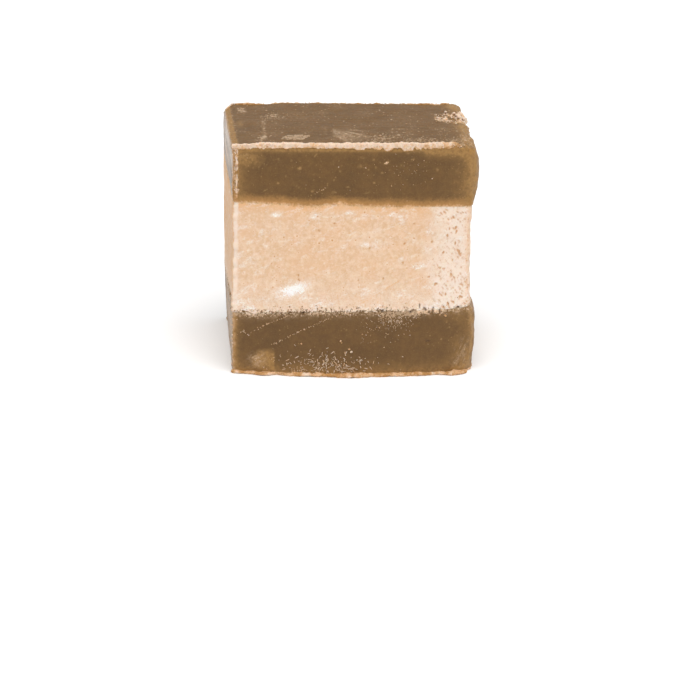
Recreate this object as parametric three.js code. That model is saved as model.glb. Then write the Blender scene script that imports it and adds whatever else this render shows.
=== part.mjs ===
// A block of layered fudge: one pale layer between two brown ones, knife-cut on the front, left and back,
// with a softer outer side on the right and a torn lip of crumb along the top front edge.
// Millimetres, +Z up, front at -Y. The origin is the middle of the base.
import * as THREE from "three";
import { mergeVertices } from "three/addons/utils/BufferGeometryUtils.js";

// Size of the block
const HEIGHT = 35.0;
const DEPTH = 24.6;
const LEFT_FRONT_BASE = -17.4;
const LEFT_FRONT_TOP = -16.75;
const LEFT_BACK_BASE = -19.4;
const LEFT_BACK_TOP = -19.25;
const LEFT_BACK_SWELL = 0.25;
const RIGHT_FRONT_BASE = 18.35;
const RIGHT_FRONT_TOP = 17.95;
const RIGHT_BACK = 17.3;
const FRONT_BOW_BASE = 1.7;
const FRONT_BOW_TOP = 0.3;
const BACK_BOW = 0.25;
const OUTLINE_MIDDLE = { x: -0.13, y: -0.59 };

// The two seams between the layers: height, slope along X and along Y
const LOWER_SEAM = { z: 10.0, slopeX: 0.018, slopeY: 0.0 };
const UPPER_SEAM = { z: 26.9, slopeX: -0.02, slopeY: 0.05 };
const LOWER_SEAM_DIP = { depth: 0.3, x: -14, reach: 4 };
const LOWER_SEAM_CURL = { rise: 0.2, from: 16.5, to: 18.35 };
const UPPER_SEAM_LUMP = { rise: 0.15, x: -1.5, reach: 2 };
const SEAM_WAVE = { height: 0.12, length: 4.5 };

// How far each layer stands out, or draws in, on the soft right side
const TOP_SWELL = 1.0;
const TOP_SWELL_FADE = { share: 0.55, from: 0.15, to: 0.5 };
const PALE_HOLLOW = 0.2;
const BOTTOM_SWELL = 0.85;
// 1 puts the widest place halfway up a layer; the top one is widest a little above that, the bottom one too
const SWELL_LEAN = { top: 0.85, bottom: 1.6 };

// Radii of the upright corners and of the top edges
const CORNER = { frontLeft: 0.25, frontRightBrown: 2.1, frontRightPale: 0.8, backLeft: 0.7, backRight: 0.6 };
const TOP_EDGE = { front: 0.2, left: 0.3, right: 0.9, back: 0.35 };
const BASE_EDGE = 0.35;

// Torn and crumbled places
const LIP = { rise: 0.85, reach: 0.3, spread: 0.55, from: -16.2, to: 14.5, fade: 2.0 };
const BACK_BURR = { rise: 0.3, spread: 0.6 };
const FRONT_LEFT_RIDGE = { reach: 0.35, inset: 0.45, spread: 0.35, waveLength: 1.9 };
const BASE_BURR = { reach: 0.8, spread: 0.8, waveLength: 2.3 };
const RAGGED = { least: 0.44, most: 1, waveLength: 1.7 };
const CORNER_CHIP = { x: 1.3, y: 4.2, z: 1.6 };
const EDGE_CHIP = { x: 16.9, y: 3.9, halfX: 4.1, halfY: 3.4, depth: 0.35 };
const BACK_NOTCH = { depth: 0.5, from: 7, to: 8.5, height: 5 };

// Unevenness of the cut faces and of the soft side
const CUT_ROUGHNESS = 0.08;
const SOFT_ROUGHNESS = 0.3;
const WAVE_LENGTH = 3.2;

// Fineness of the solids
const COLUMNS = 24;
const DEEP = 16;
const ROWS = { bottom_layer: 8, middle_layer: 11, top_layer: 8 };
const EDGE_CROWDING = 0.78;

const BROWN = new THREE.Color(0x775b40);
const BROWN_TOP = new THREE.Color(0x80633f);
const PALE = new THREE.Color(0xecc8a7);

const { lerp, clamp, smoothstep } = THREE.MathUtils;

// A smooth hill of height 1 at 0, gone at about twice the reach
const hill = (distance, reach) => Math.exp(-((distance / reach) ** 2));

// A fixed random number in 0..1 for each lattice point
function lattice(i, j, k) {
  const wave = Math.sin(i * 127.1 + j * 311.7 + k * 74.7) * 43758.5453;
  return wave - Math.floor(wave);
}

// Smooth noise in -1..1, one lump every wave length
function noise(x, y, z, waveLength) {
  const cell = [x, y, z].map((value) => Math.floor(value / waveLength));
  const part = [x, y, z].map((value, axis) => smoothstep(value / waveLength - cell[axis], 0, 1));
  let sum = 0;
  for (let corner = 0; corner < 8; corner += 1) {
    const step = [corner & 1, (corner >> 1) & 1, corner >> 2];
    const share = step.reduce((product, up, axis) => product * (up ? part[axis] : 1 - part[axis]), 1);
    sum += share * lattice(cell[0] + step[0], cell[1] + step[1], cell[2] + step[2]);
  }
  return 2 * sum - 1;
}

// The same noise as a share, 0..1
const between = (x, y, z, waveLength) => 0.5 + 0.5 * noise(x, y, z, waveLength);

// Heights of the seams below and above the pale layer at a place in plan
function lowerSeam(x, y) {
  const dip = LOWER_SEAM_DIP.depth * hill(x - LOWER_SEAM_DIP.x, LOWER_SEAM_DIP.reach);
  const curl = LOWER_SEAM_CURL.rise * smoothstep(x, LOWER_SEAM_CURL.from, LOWER_SEAM_CURL.to);
  const flat = LOWER_SEAM.z + LOWER_SEAM.slopeX * x + LOWER_SEAM.slopeY * y;
  return flat - dip + curl + SEAM_WAVE.height * noise(x, y, 1, SEAM_WAVE.length);
}

function upperSeam(x, y) {
  const lump = UPPER_SEAM_LUMP.rise * hill(x - UPPER_SEAM_LUMP.x, UPPER_SEAM_LUMP.reach);
  const flat = UPPER_SEAM.z + UPPER_SEAM.slopeX * x + UPPER_SEAM.slopeY * y;
  return flat + lump + SEAM_WAVE.height * noise(x, y, 9, SEAM_WAVE.length);
}

// How far the soft right side stands out at a height: brown layers swell, the pale one is a shallow hollow
function rightSwell(along, z, low, high) {
  if (z >= high) {
    const fromTop = clamp((HEIGHT - z) / (HEIGHT - high), 0, 1);
    const fade = 1 - TOP_SWELL_FADE.share * smoothstep(along, TOP_SWELL_FADE.from, TOP_SWELL_FADE.to);
    return TOP_SWELL * fade * Math.sqrt(Math.max(0, Math.sin(Math.PI * fromTop ** SWELL_LEAN.top)));
  }
  if (z > low) return -PALE_HOLLOW * Math.sin((Math.PI * (z - low)) / (high - low));
  return BOTTOM_SWELL * Math.sin(Math.PI * clamp(z / low, 0, 1) ** SWELL_LEAN.bottom);
}

// The four sides: across is 0..1 from left to right, along is 0..1 from front to back
function leftSide(along, z) {
  const front = lerp(LEFT_FRONT_BASE, LEFT_FRONT_TOP, z / HEIGHT);
  const swell = LEFT_BACK_SWELL * Math.sin((Math.PI * z) / HEIGHT);
  const back = lerp(LEFT_BACK_BASE, LEFT_BACK_TOP, z / HEIGHT) - swell;
  return lerp(front, back, along);
}

function rightSide(along, z, low, high) {
  const front = lerp(RIGHT_FRONT_BASE, RIGHT_FRONT_TOP, z / HEIGHT);
  return lerp(front, RIGHT_BACK, along) + rightSwell(along, z, low, high);
}

function frontSide(across, z) {
  const bow = lerp(FRONT_BOW_BASE, FRONT_BOW_TOP, z / HEIGHT);
  return -DEPTH / 2 - bow * (1 - (2 * across - 1) ** 2);
}

function backSide(across) {
  return DEPTH / 2 + BACK_BOW * (1 - (2 * across - 1) ** 2);
}

// Rounds a square corner: takes the distances from its two sides and gives the new ones
function roundOff(first, second, radius) {
  if (first >= radius || second >= radius) return [first, second];
  const left = [radius - first, radius - second];
  const scale = Math.max(...left) / Math.hypot(...left);
  return [radius - left[0] * scale, radius - left[1] * scale];
}

function cornerRadius(across, along, z, low, high) {
  if (across < 0.5) return along < 0.5 ? CORNER.frontLeft : CORNER.backLeft;
  if (along > 0.5) return CORNER.backRight;
  const brown = Math.max(smoothstep(z, high, high + 2), 1 - smoothstep(z, low - 2, low));
  return lerp(CORNER.frontRightPale, CORNER.frontRightBrown, brown);
}

// Moves one point of a straight block, given by its shares of width and depth and its height, onto the fudge
function shapePoint(across, along, height, low, high) {
  const sides = {
    left: leftSide(along, height),
    right: rightSide(along, height, low, high),
    front: frontSide(across, height),
    back: backSide(across),
  };
  const nearLeft = across < 0.5;
  const nearFront = along < 0.5;
  let fromX = (nearLeft ? across : 1 - across) * (sides.right - sides.left);
  let fromY = (nearFront ? along : 1 - along) * (sides.back - sides.front);
  const edgeX = fromX;
  const edgeY = fromY;
  let fromTop = HEIGHT - height;
  let fromBase = height;

  [fromX, fromTop] = roundOff(fromX, fromTop, nearLeft ? TOP_EDGE.left : TOP_EDGE.right);
  [fromY, fromTop] = roundOff(fromY, fromTop, nearFront ? TOP_EDGE.front : TOP_EDGE.back);
  [fromX, fromBase] = roundOff(fromX, fromBase, BASE_EDGE);
  [fromY, fromBase] = roundOff(fromY, fromBase, BASE_EDGE);
  [fromX, fromY] = roundOff(fromX, fromY, cornerRadius(across, along, height, low, high));

  const outX = nearLeft ? -1 : 1;
  const outY = nearFront ? -1 : 1;
  const point = new THREE.Vector3(
    (nearLeft ? sides.left : sides.right) - outX * fromX,
    (nearFront ? sides.front : sides.back) - outY * fromY,
    height < HEIGHT / 2 ? fromBase : HEIGHT - fromTop,
  );
  roughen(point, edgeX, edgeY, outX, outY);
  tearEdges(point, edgeX, edgeY, nearLeft, nearFront);
  chip(point, edgeX);
  return point;
}

// Small unevenness: little on the cut faces, more on the soft right side
function roughen(point, edgeX, edgeY, outX, outY) {
  const { x, y, z } = point;
  const sideX = hill(edgeX, 1) * (outX > 0 ? SOFT_ROUGHNESS : CUT_ROUGHNESS);
  const sideY = hill(edgeY, 1) * CUT_ROUGHNESS;
  point.x += outX * sideX * noise(x, y, z, WAVE_LENGTH);
  point.y += outY * sideY * noise(x + 40, y, z, WAVE_LENGTH);
  point.z += CUT_ROUGHNESS * noise(x, y + 40, z, WAVE_LENGTH) * smoothstep(z, HEIGHT - 1.5, HEIGHT);
}

// The torn lip over the front, the burr at the back, the ridge up the front left corner and the ragged foot
function tearEdges(point, edgeX, edgeY, nearLeft, nearFront) {
  const { x, y, z } = point;
  const ragged = lerp(RAGGED.least, RAGGED.most, between(x * 2, 3, z * 2, RAGGED.waveLength));
  const topEdge = hill(HEIGHT - z, nearFront ? LIP.spread : BACK_BURR.spread);
  if (nearFront) {
    const run = smoothstep(x, LIP.from, LIP.from + LIP.fade) * (1 - smoothstep(x, LIP.to - LIP.fade, LIP.to));
    const lip = hill(edgeY, LIP.spread) * topEdge * run * ragged;
    point.z += LIP.rise * lip;
    point.y -= LIP.reach * lip;
    if (nearLeft) {
      const ridge = hill(edgeX - FRONT_LEFT_RIDGE.inset, FRONT_LEFT_RIDGE.spread) * hill(edgeY, 0.5);
      point.y -= FRONT_LEFT_RIDGE.reach * ridge * ragged * between(1, 5, z, FRONT_LEFT_RIDGE.waveLength);
    }
  } else {
    point.z += BACK_BURR.rise * hill(edgeY, BACK_BURR.spread) * topEdge * ragged;
  }
  const foot = BASE_BURR.reach * hill(z, BASE_BURR.spread) * ragged * between(x, y, 7, BASE_BURR.waveLength);
  if (edgeY < BASE_BURR.spread) point.y += (nearFront ? -1 : 1) * foot;
  if (edgeX < BASE_BURR.spread) point.x += (nearLeft ? -1 : 1) * foot;
}

// The flat face that the missing back left corner leaves, through a point on each of the three edges there
const CORNER_CHIP_FACE = new THREE.Plane().setFromCoplanarPoints(
  new THREE.Vector3(LEFT_BACK_TOP, DEPTH / 2 - CORNER_CHIP.y, HEIGHT),
  new THREE.Vector3(LEFT_BACK_TOP + CORNER_CHIP.x, DEPTH / 2, HEIGHT),
  new THREE.Vector3(LEFT_BACK_TOP, DEPTH / 2, HEIGHT - CORNER_CHIP.z),
);

// Pieces broken away: the back left corner, the crumbled patch on the top right edge and the notch behind it
function chip(point, edgeX) {
  const missing = CORNER_CHIP_FACE.distanceToPoint(point);
  if (missing > 0) point.addScaledVector(CORNER_CHIP_FACE.normal, -missing);
  const { x, y, z } = point;
  const patch = Math.hypot((x - EDGE_CHIP.x) / EDGE_CHIP.halfX, (y - EDGE_CHIP.y) / EDGE_CHIP.halfY);
  if (z > HEIGHT - 1.5 && patch < 1) {
    point.z -= EDGE_CHIP.depth * (1 - patch ** 2) * (0.7 + 0.5 * noise(x, y, z, 1.1));
  }
  if (x > 0) {
    const behind = smoothstep(y, BACK_NOTCH.from, BACK_NOTCH.to);
    const high = smoothstep(z, HEIGHT - BACK_NOTCH.height, HEIGHT);
    point.x -= BACK_NOTCH.depth * behind * high * hill(edgeX, 1.5);
  }
}

// Draws evenly spaced grid lines closer together towards both ends of 0..1
const crowd = (share) => share - (EDGE_CROWDING * Math.sin(2 * Math.PI * share)) / (2 * Math.PI);

// Splits the quads of the underside along the same diagonals as those of the top, so that layers share a seam
function matchDiagonals(box) {
  const underside = box.groups[5];
  const index = box.getIndex();
  for (let i = underside.start; i < underside.start + underside.count; i += 6) {
    const [a, b, d, c] = [index.getX(i), index.getX(i + 1), index.getX(i + 2), index.getX(i + 4)];
    [a, b, c, a, c, d].forEach((vertex, offset) => index.setX(i + offset, vertex));
  }
}

// One layer between a lower and an upper surface, each a function of the place in plan and the seams there
function makeLayer(name, lowerFace, upperFace, colour) {
  const box = new THREE.BoxGeometry(1, 1, 1, COLUMNS, DEEP, ROWS[name]);
  matchDiagonals(box);
  box.deleteAttribute("normal");
  box.deleteAttribute("uv");
  const geometry = mergeVertices(box);
  const position = geometry.getAttribute("position");
  for (let i = 0; i < position.count; i += 1) {
    const across = crowd(position.getX(i) + 0.5);
    const along = crowd(position.getY(i) + 0.5);
    const up = crowd(position.getZ(i) + 0.5);
    const x = lerp(LEFT_FRONT_BASE, RIGHT_FRONT_BASE, across);
    const y = (along - 0.5) * DEPTH;
    const seams = [lowerSeam(x, y), upperSeam(x, y)];
    const height = lerp(lowerFace(...seams), upperFace(...seams), up);
    const point = shapePoint(across, along, height, ...seams);
    position.setXYZ(i, point.x - OUTLINE_MIDDLE.x, point.y - OUTLINE_MIDDLE.y, point.z);
  }
  geometry.computeVertexNormals();
  const material = new THREE.MeshStandardMaterial({ color: colour, roughness: 0.6, metalness: 0 });
  const mesh = new THREE.Mesh(geometry, material);
  mesh.name = name;
  return mesh;
}

const fudge = new THREE.Group();
fudge.add(
  makeLayer("bottom_layer", () => 0, (low) => low, BROWN),
  makeLayer("middle_layer", (low) => low, (low, high) => high, PALE),
  makeLayer("top_layer", (low, high) => high, () => HEIGHT, BROWN_TOP),
);

export default fudge;
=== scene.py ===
"""The looks of one hand-cut block of layered fudge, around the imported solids.

Every length below is in millimetres in the block's own coordinates, whose plan is moved by OUTLINE_MIDDLE
into the frame; meshes are written in metres. Each layer is one finely displaced skin that follows the same
formulas as its solid. Torn edges are strips swept along the block's edges, and crumbs are small lumps."""

import itertools
import math
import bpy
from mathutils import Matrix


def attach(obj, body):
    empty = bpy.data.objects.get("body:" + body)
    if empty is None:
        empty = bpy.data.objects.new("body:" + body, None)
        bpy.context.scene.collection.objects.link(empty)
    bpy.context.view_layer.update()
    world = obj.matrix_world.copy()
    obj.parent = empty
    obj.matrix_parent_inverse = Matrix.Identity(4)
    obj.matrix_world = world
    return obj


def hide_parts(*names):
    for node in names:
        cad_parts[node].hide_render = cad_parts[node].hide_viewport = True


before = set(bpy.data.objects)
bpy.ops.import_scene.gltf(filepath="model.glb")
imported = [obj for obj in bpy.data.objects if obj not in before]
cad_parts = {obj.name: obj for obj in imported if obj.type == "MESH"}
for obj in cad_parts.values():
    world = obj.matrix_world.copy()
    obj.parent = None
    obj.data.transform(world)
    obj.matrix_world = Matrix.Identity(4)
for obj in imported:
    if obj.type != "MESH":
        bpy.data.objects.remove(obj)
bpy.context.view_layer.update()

from types import SimpleNamespace

import bpy
import numpy as np
from mathutils import Vector

MM = 0.001

# ---------------- driving sizes of the block, as in its solids
HEIGHT = 35.0
DEPTH = 24.6
LEFT_FRONT_BASE, LEFT_FRONT_TOP = -17.4, -16.75
LEFT_BACK_BASE, LEFT_BACK_TOP, LEFT_BACK_SWELL = -19.4, -19.25, 0.25
RIGHT_FRONT_BASE, RIGHT_FRONT_TOP, RIGHT_BACK = 18.35, 17.95, 17.3
FRONT_BOW_BASE, FRONT_BOW_TOP, BACK_BOW = 1.7, 0.3, 0.25
OUTLINE_MIDDLE = np.array([-0.13, -0.59, 0.0])
LOWER_SEAM = dict(z=10.0, slope_x=0.018, slope_y=0.0, dip=0.3, dip_x=-14.0, dip_reach=4.0, curl=0.2)
UPPER_SEAM = dict(z=26.9, slope_x=-0.02, slope_y=0.05, dip=-0.15, dip_x=-1.5, dip_reach=2.0, curl=0.0)
CURL_FROM, CURL_TO = 16.5, 18.35
SEAM_WAVE, SEAM_WAVE_LENGTH = 0.12, 4.5
TOP_SWELL, PALE_HOLLOW, BOTTOM_SWELL = 1.0, 0.2, 0.85
TOP_SWELL_FADE = dict(share=0.55, start=0.15, end=0.5)
SWELL_LEAN = dict(top=0.85, bottom=1.6)
CORNER = dict(front_left=0.25, front_right_brown=2.1, front_right_pale=0.8, back_left=0.7, back_right=0.6)
TOP_EDGE = dict(front=0.2, left=0.3, right=0.9, back=0.35)
BASE_EDGE = 0.35
CORNER_CHIP = (1.3, 4.2, 1.6)
EDGE_CHIP = dict(x=16.9, y=3.9, half_x=4.1, half_y=3.4, depth=0.35)
BACK_NOTCH = dict(depth=0.5, start=7.0, end=8.5, height=5.0)
CUT_ROUGHNESS, SOFT_ROUGHNESS, WAVE_LENGTH = 0.08, 0.3, 3.2
# Finer than the solids: where marks lie in from the left edge, and how far the top layer stands out there
LEFT_BAND, CUT_CORNER, RIDGE_IN = 0.82, 0.78, 0.56
TOP_STANDS_OUT = 0.22

# ---------------- fineness of the meshes, and where torn edges sit
MEAN_WIDTH, MEAN_DEPTH = 36.5, 25.2
LAYER_HEIGHTS = (9.8, 16.6, 8.6)
SPACING = 0.15
COLUMNS, DEEP = round(MEAN_WIDTH / SPACING), round(MEAN_DEPTH / SPACING)
ROWS = [round(height / SPACING) for height in LAYER_HEIGHTS]
EDGE_CROWDING = 0.3
CAP_INSET, CAP_NEAR, CAP_FAR = 0.012, 0.05, 0.15
BURR_STEP, FOOT_STEP = (0.06), 0.09
SECTION_STEPS = 3
BURR_SHAKE = 0.075
BURR_TURN = 0.5
LIP_SEAT, FLOOR_GAP = 0.12, 0.005
FRONT_LIP_END, BACK_LIP_ENDS = 16.9, (-17.8, 16.0)


# ---------------- small tools
def lerp(a, b, share):
    return a + (b - a) * share


def smooth(value, low, high):
    """0 up to low, 1 from high, and a smooth step between them."""
    t = np.clip((value - low) / (high - low), 0.0, 1.0)
    return t * t * (3.0 - 2.0 * t)


def hill(distance, reach):
    """A smooth hill of height 1 at 0, gone at about twice the reach."""
    return np.exp(-((distance / reach) ** 2))


def band(value, low, high, fade):
    """1 between low and high and 0 outside them, fading over the given width inside both."""
    return smooth(value, low, low + fade) * (1 - smooth(value, high - fade, high))


def lattice(i, j, k):
    """A fixed random number in 0..1 for each lattice point."""
    wave = np.sin(i * 127.1 + j * 311.7 + k * 74.7) * 43758.5453
    return wave - np.floor(wave)


def noise(x, y, z, wave_length):
    """Smooth noise in -1..1 with one lump every wave length."""
    x, y, z = np.broadcast_arrays(x, y, z)
    cell = [np.floor(v / wave_length) for v in (x, y, z)]
    part = [smooth(v / wave_length - c, 0.0, 1.0) for v, c in zip((x, y, z), cell)]
    total = np.zeros(x.shape)
    for corner in range(8):
        step = [corner & 1, (corner >> 1) & 1, corner >> 2]
        share = np.ones(x.shape)
        for up, p in zip(step, part):
            share = share * (p if up else 1.0 - p)
        total += share * lattice(*(c + s for c, s in zip(cell, step)))
    return 2.0 * total - 1.0


def fractal(x, y, z, wave_length, octaves=3, gain=0.55):
    """Several sizes of noise in one, each about half as wide and half as strong as the one before."""
    total, strength = 0.0, 1.0
    for octave in range(octaves):
        shift = 17.3 * (octave + 1)
        total = total + strength * noise(x + shift, y - shift, z + shift, wave_length)
        wave_length *= 0.47
        strength *= gain
    return total


def srgb(red, green, blue):
    """A screen colour in 0..255 as linear light."""
    value = np.array([red, green, blue]) / 255.0
    linear = np.where(value <= 0.04045, value / 12.92, ((value + 0.055) / 1.055) ** 2.4)
    return tuple(float(v) for v in linear) + (1.0,)


# ---------------- the block's form
def seam(spec, x, y, level):
    dip = spec["dip"] * hill(x - spec["dip_x"], spec["dip_reach"])
    flat = spec["z"] + spec["slope_x"] * x + spec["slope_y"] * y
    flat = flat + spec["curl"] * smooth(x, CURL_FROM, CURL_TO)
    return flat - dip + SEAM_WAVE * noise(x, y, level, SEAM_WAVE_LENGTH)


def right_swell(along, z, low, high):
    """How far the soft right side stands out: brown layers swell and the pale one is a shallow hollow."""
    from_top = np.clip((HEIGHT - z) / (HEIGHT - high), 0.0, 1.0)
    fade = 1.0 - TOP_SWELL_FADE["share"] * smooth(along, TOP_SWELL_FADE["start"], TOP_SWELL_FADE["end"])
    top = TOP_SWELL * fade * np.sqrt(np.maximum(0.0, np.sin(np.pi * from_top ** SWELL_LEAN["top"])))
    pale = -PALE_HOLLOW * np.sin(np.pi * (z - low) / (high - low))
    bottom = BOTTOM_SWELL * np.sin(np.pi * np.clip(z / low, 0.0, 1.0) ** SWELL_LEAN["bottom"])
    return np.where(z >= high, top, np.where(z > low, pale, bottom))


def block_sides(across, along, z, low, high):
    """Where the left, right, front and back sides stand at each point."""
    up = z / HEIGHT
    left_back = lerp(LEFT_BACK_BASE, LEFT_BACK_TOP, up) - LEFT_BACK_SWELL * np.sin(np.pi * up)
    left = lerp(lerp(LEFT_FRONT_BASE, LEFT_FRONT_TOP, up), left_back, along)
    right = lerp(lerp(RIGHT_FRONT_BASE, RIGHT_FRONT_TOP, up), RIGHT_BACK, along)
    right = right + right_swell(along, z, low, high)
    arch = 1.0 - (2.0 * across - 1.0) ** 2
    front = -DEPTH / 2 - lerp(FRONT_BOW_BASE, FRONT_BOW_TOP, up) * arch
    back = DEPTH / 2 + BACK_BOW * arch
    return left, right, front, back


def round_off(first, second, radius):
    """Rounds a square corner: takes the distances from its two sides and gives the new ones."""
    inside = (first < radius) & (second < radius)
    a, b = radius - first, radius - second
    scale = np.maximum(a, b) / np.maximum(np.hypot(a, b), 1e-9)
    return np.where(inside, radius - a * scale, first), np.where(inside, radius - b * scale, second)


def corner_radius(across, along, z, low, high):
    brown = np.maximum(smooth(z, high, high + 2), 1 - smooth(z, low - 2, low))
    front_right = lerp(CORNER["front_right_pale"], CORNER["front_right_brown"], brown)
    left = np.where(along < 0.5, CORNER["front_left"], CORNER["back_left"])
    return np.where(across < 0.5, left, np.where(along > 0.5, CORNER["back_right"], front_right))


def chip_face():
    """The flat face that the missing back left corner leaves: a unit normal and its distance from zero."""
    size_x, size_y, size_z = CORNER_CHIP
    corner = np.array([LEFT_BACK_TOP, DEPTH / 2, HEIGHT])
    on_back, on_left, on_upright = corner + [size_x, 0, 0], corner - [0, size_y, 0], corner - [0, 0, size_z]
    normal = np.cross(on_upright - on_back, on_left - on_back)
    normal *= np.sign(normal[2]) / np.linalg.norm(normal)
    return normal, normal @ on_back


def shape_points(across, along, height, low, high):
    """Moves points of a straight block onto the fudge, and gives what the relief and colours need of them."""
    left, right, front, back = block_sides(across, along, height, low, high)
    near_left, near_front = across < 0.5, along < 0.5
    from_x = np.where(near_left, across, 1 - across) * (right - left)
    from_y = np.where(near_front, along, 1 - along) * (back - front)
    edge_x, edge_y = from_x, from_y
    from_top, from_base = HEIGHT - height, height
    side_edge = np.where(near_left, TOP_EDGE["left"], TOP_EDGE["right"])
    end_edge = np.where(near_front, TOP_EDGE["front"], TOP_EDGE["back"])
    from_x, from_top = round_off(from_x, from_top, side_edge)
    from_y, from_top = round_off(from_y, from_top, end_edge)
    from_x, from_base = round_off(from_x, from_base, BASE_EDGE)
    from_y, from_base = round_off(from_y, from_base, BASE_EDGE)
    from_x, from_y = round_off(from_x, from_y, corner_radius(across, along, height, low, high))
    out_x, out_y = np.where(near_left, -1.0, 1.0), np.where(near_front, -1.0, 1.0)
    x = np.where(near_left, left, right) - out_x * from_x
    y = np.where(near_front, front, back) - out_y * from_y
    z = np.where(height < HEIGHT / 2, from_base, HEIGHT - from_top)

    soft = np.where(out_x > 0, SOFT_ROUGHNESS, CUT_ROUGHNESS)
    new_x = x + out_x * hill(edge_x, 1) * soft * noise(x, y, z, WAVE_LENGTH)
    new_y = y + out_y * hill(edge_y, 1) * CUT_ROUGHNESS * noise(x + 40, y, z, WAVE_LENGTH)
    z = z + CUT_ROUGHNESS * noise(x, y + 40, z, WAVE_LENGTH) * smooth(z, HEIGHT - 1.5, HEIGHT)
    x, y = new_x, new_y

    normal, reach = chip_face()
    missing = np.maximum(0.0, x * normal[0] + y * normal[1] + z * normal[2] - reach)
    x, y, z = x - missing * normal[0], y - missing * normal[1], z - missing * normal[2]
    behind = smooth(y, BACK_NOTCH["start"], BACK_NOTCH["end"])
    behind = behind * smooth(z, HEIGHT - BACK_NOTCH["height"], HEIGHT)
    x = x - np.where(x > 0, BACK_NOTCH["depth"] * behind * hill(edge_x, 1.5), 0.0)
    return np.stack([x, y, z], -1), edge_x, edge_y, missing


# ---------------- the skin: a fine grid over the whole block
def crowd(share):
    """Draws evenly spaced grid lines closer together towards both ends of 0..1."""
    return share - EDGE_CROWDING * np.sin(2 * np.pi * share) / (2 * np.pi)


class Skin:
    """The outer surface of the whole block: rings of columns from base to top, and a grid on base and top."""

    def __init__(self):
        self.ring = 2 * (COLUMNS + DEEP)
        self.rows = sum(ROWS)
        across, along, height, low, high = self.wall_shares()
        a, b = crowd(np.arange(1, COLUMNS) / COLUMNS), crowd(np.arange(1, DEEP) / DEEP)
        inner_across, inner_along = (v.ravel() for v in np.meshgrid(a, b, indexing="ij"))
        inner_low, inner_high = seams_at(inner_across, inner_along)
        flat = np.zeros(len(inner_across))
        self.across = np.concatenate([across, inner_across, inner_across])
        self.along = np.concatenate([along, inner_along, inner_along])
        self.height = np.concatenate([height, flat, flat + HEIGHT])
        self.low = np.concatenate([low, inner_low, inner_low])
        self.high = np.concatenate([high, inner_high, inner_high])
        self.point, self.edge_x, self.edge_y, self.missing = shape_points(
            self.across, self.along, self.height, self.low, self.high
        )
        wall = self.ring * (self.rows + 1)
        self.wall_quads = self.ring_quads()
        self.base_quads = grid_quads(self.grid_ids(0, wall))[:, ::-1]
        self.top_quads = grid_quads(self.grid_ids(self.rows, wall + len(flat)))
        quads = np.concatenate([self.wall_quads, self.base_quads, self.top_quads])
        self.normal, self.area = vertex_normals(self.point, quads)

    def wall_shares(self):
        a, b = crowd(np.arange(COLUMNS) / COLUMNS), crowd(np.arange(DEEP) / DEEP)
        across = np.concatenate([a, np.ones(DEEP), 1 - a, np.zeros(DEEP)])
        along = np.concatenate([np.zeros(COLUMNS), b, np.ones(COLUMNS), 1 - b])
        low, high = seams_at(across, along)
        floors, ceilings = [0 * low, low, high], [low, high, 0 * low + HEIGHT]
        heights = []
        for layer, rows in enumerate(ROWS):
            ups = crowd(np.arange(rows) / rows)[:, None]
            heights.append(lerp(floors[layer], ceilings[layer], ups))
        heights.append(ceilings[2][None, :])
        height = np.concatenate(heights)
        spread = [np.broadcast_to(v, height.shape).ravel() for v in (across, along, low, high)]
        return spread[0], spread[1], height.ravel(), spread[2], spread[3]

    def grid_ids(self, row, first_inner):
        """The vertex of each place of a grid on the base or the top, whose border is a ring of the wall."""
        ids = np.empty((COLUMNS + 1, DEEP + 1), int)
        ids[1:-1, 1:-1] = first_inner + np.arange((COLUMNS - 1) * (DEEP - 1)).reshape(COLUMNS - 1, DEEP - 1)
        ring = row * self.ring + np.arange(self.ring)
        ids[:-1, 0] = ring[:COLUMNS]
        ids[-1, :-1] = ring[COLUMNS : COLUMNS + DEEP]
        ids[1:, -1] = ring[COLUMNS + DEEP : 2 * COLUMNS + DEEP][::-1]
        ids[0, 1:] = ring[2 * COLUMNS + DEEP :][::-1]
        return ids

    def ring_quads(self):
        row, column = np.meshgrid(np.arange(self.rows), np.arange(self.ring), indexing="ij")
        after = (column + 1) % self.ring
        corners = [row * self.ring + column, row * self.ring + after]
        corners += [(row + 1) * self.ring + after, (row + 1) * self.ring + column]
        return np.stack(corners, -1).reshape(-1, 4)

    def ring_at(self, row):
        return row * self.ring + np.arange(self.ring)


def seams_at(across, along):
    x, y = lerp(LEFT_FRONT_BASE, RIGHT_FRONT_BASE, across), (along - 0.5) * DEPTH
    return seam(LOWER_SEAM, x, y, 1.0), seam(UPPER_SEAM, x, y, 9.0)


def grid_quads(ids):
    return np.stack([ids[:-1, :-1], ids[1:, :-1], ids[1:, 1:], ids[:-1, 1:]], -1).reshape(-1, 4)


def vertex_normals(point, quads):
    """The unit normal of each point, and about how much surface belongs to it."""
    corner = point[quads]
    face = np.cross(corner[:, 2] - corner[:, 0], corner[:, 3] - corner[:, 1]) / 8
    normal = np.stack(
        [sum(np.bincount(quads[:, c], face[:, axis], len(point)) for c in range(4)) for axis in range(3)], -1
    )
    area = np.linalg.norm(normal, axis=1)
    return normal / np.maximum(area[:, None], 1e-12), area


# ---------------- marks of the front, placed by the photograph
# Along the lip: where a flap hangs down, half its width and by how much; along the foot the same
LIP_FLAPS = (
    (1.76, 0.77, 0.34), (4.2, 0.62, 0.35), (5.86, 0.66, 0.4), (8.7, 0.85, 0.53), (10.17, 0.48, 0.33),
    (10.58, 0.15, 0.5), (-4, 0.7, 0.15), (-9.2, 0.5, 0.08), (-15.4, 1.5, 0.28), (-12.4, 0.5, 0.1),
)
FOOT_LOBES = ((-13, 1.5, 0.3), (-10.5, 0.8, -0.4), (0, 2.5, 0.5), (15.5, 1.5, 0.5))
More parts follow.
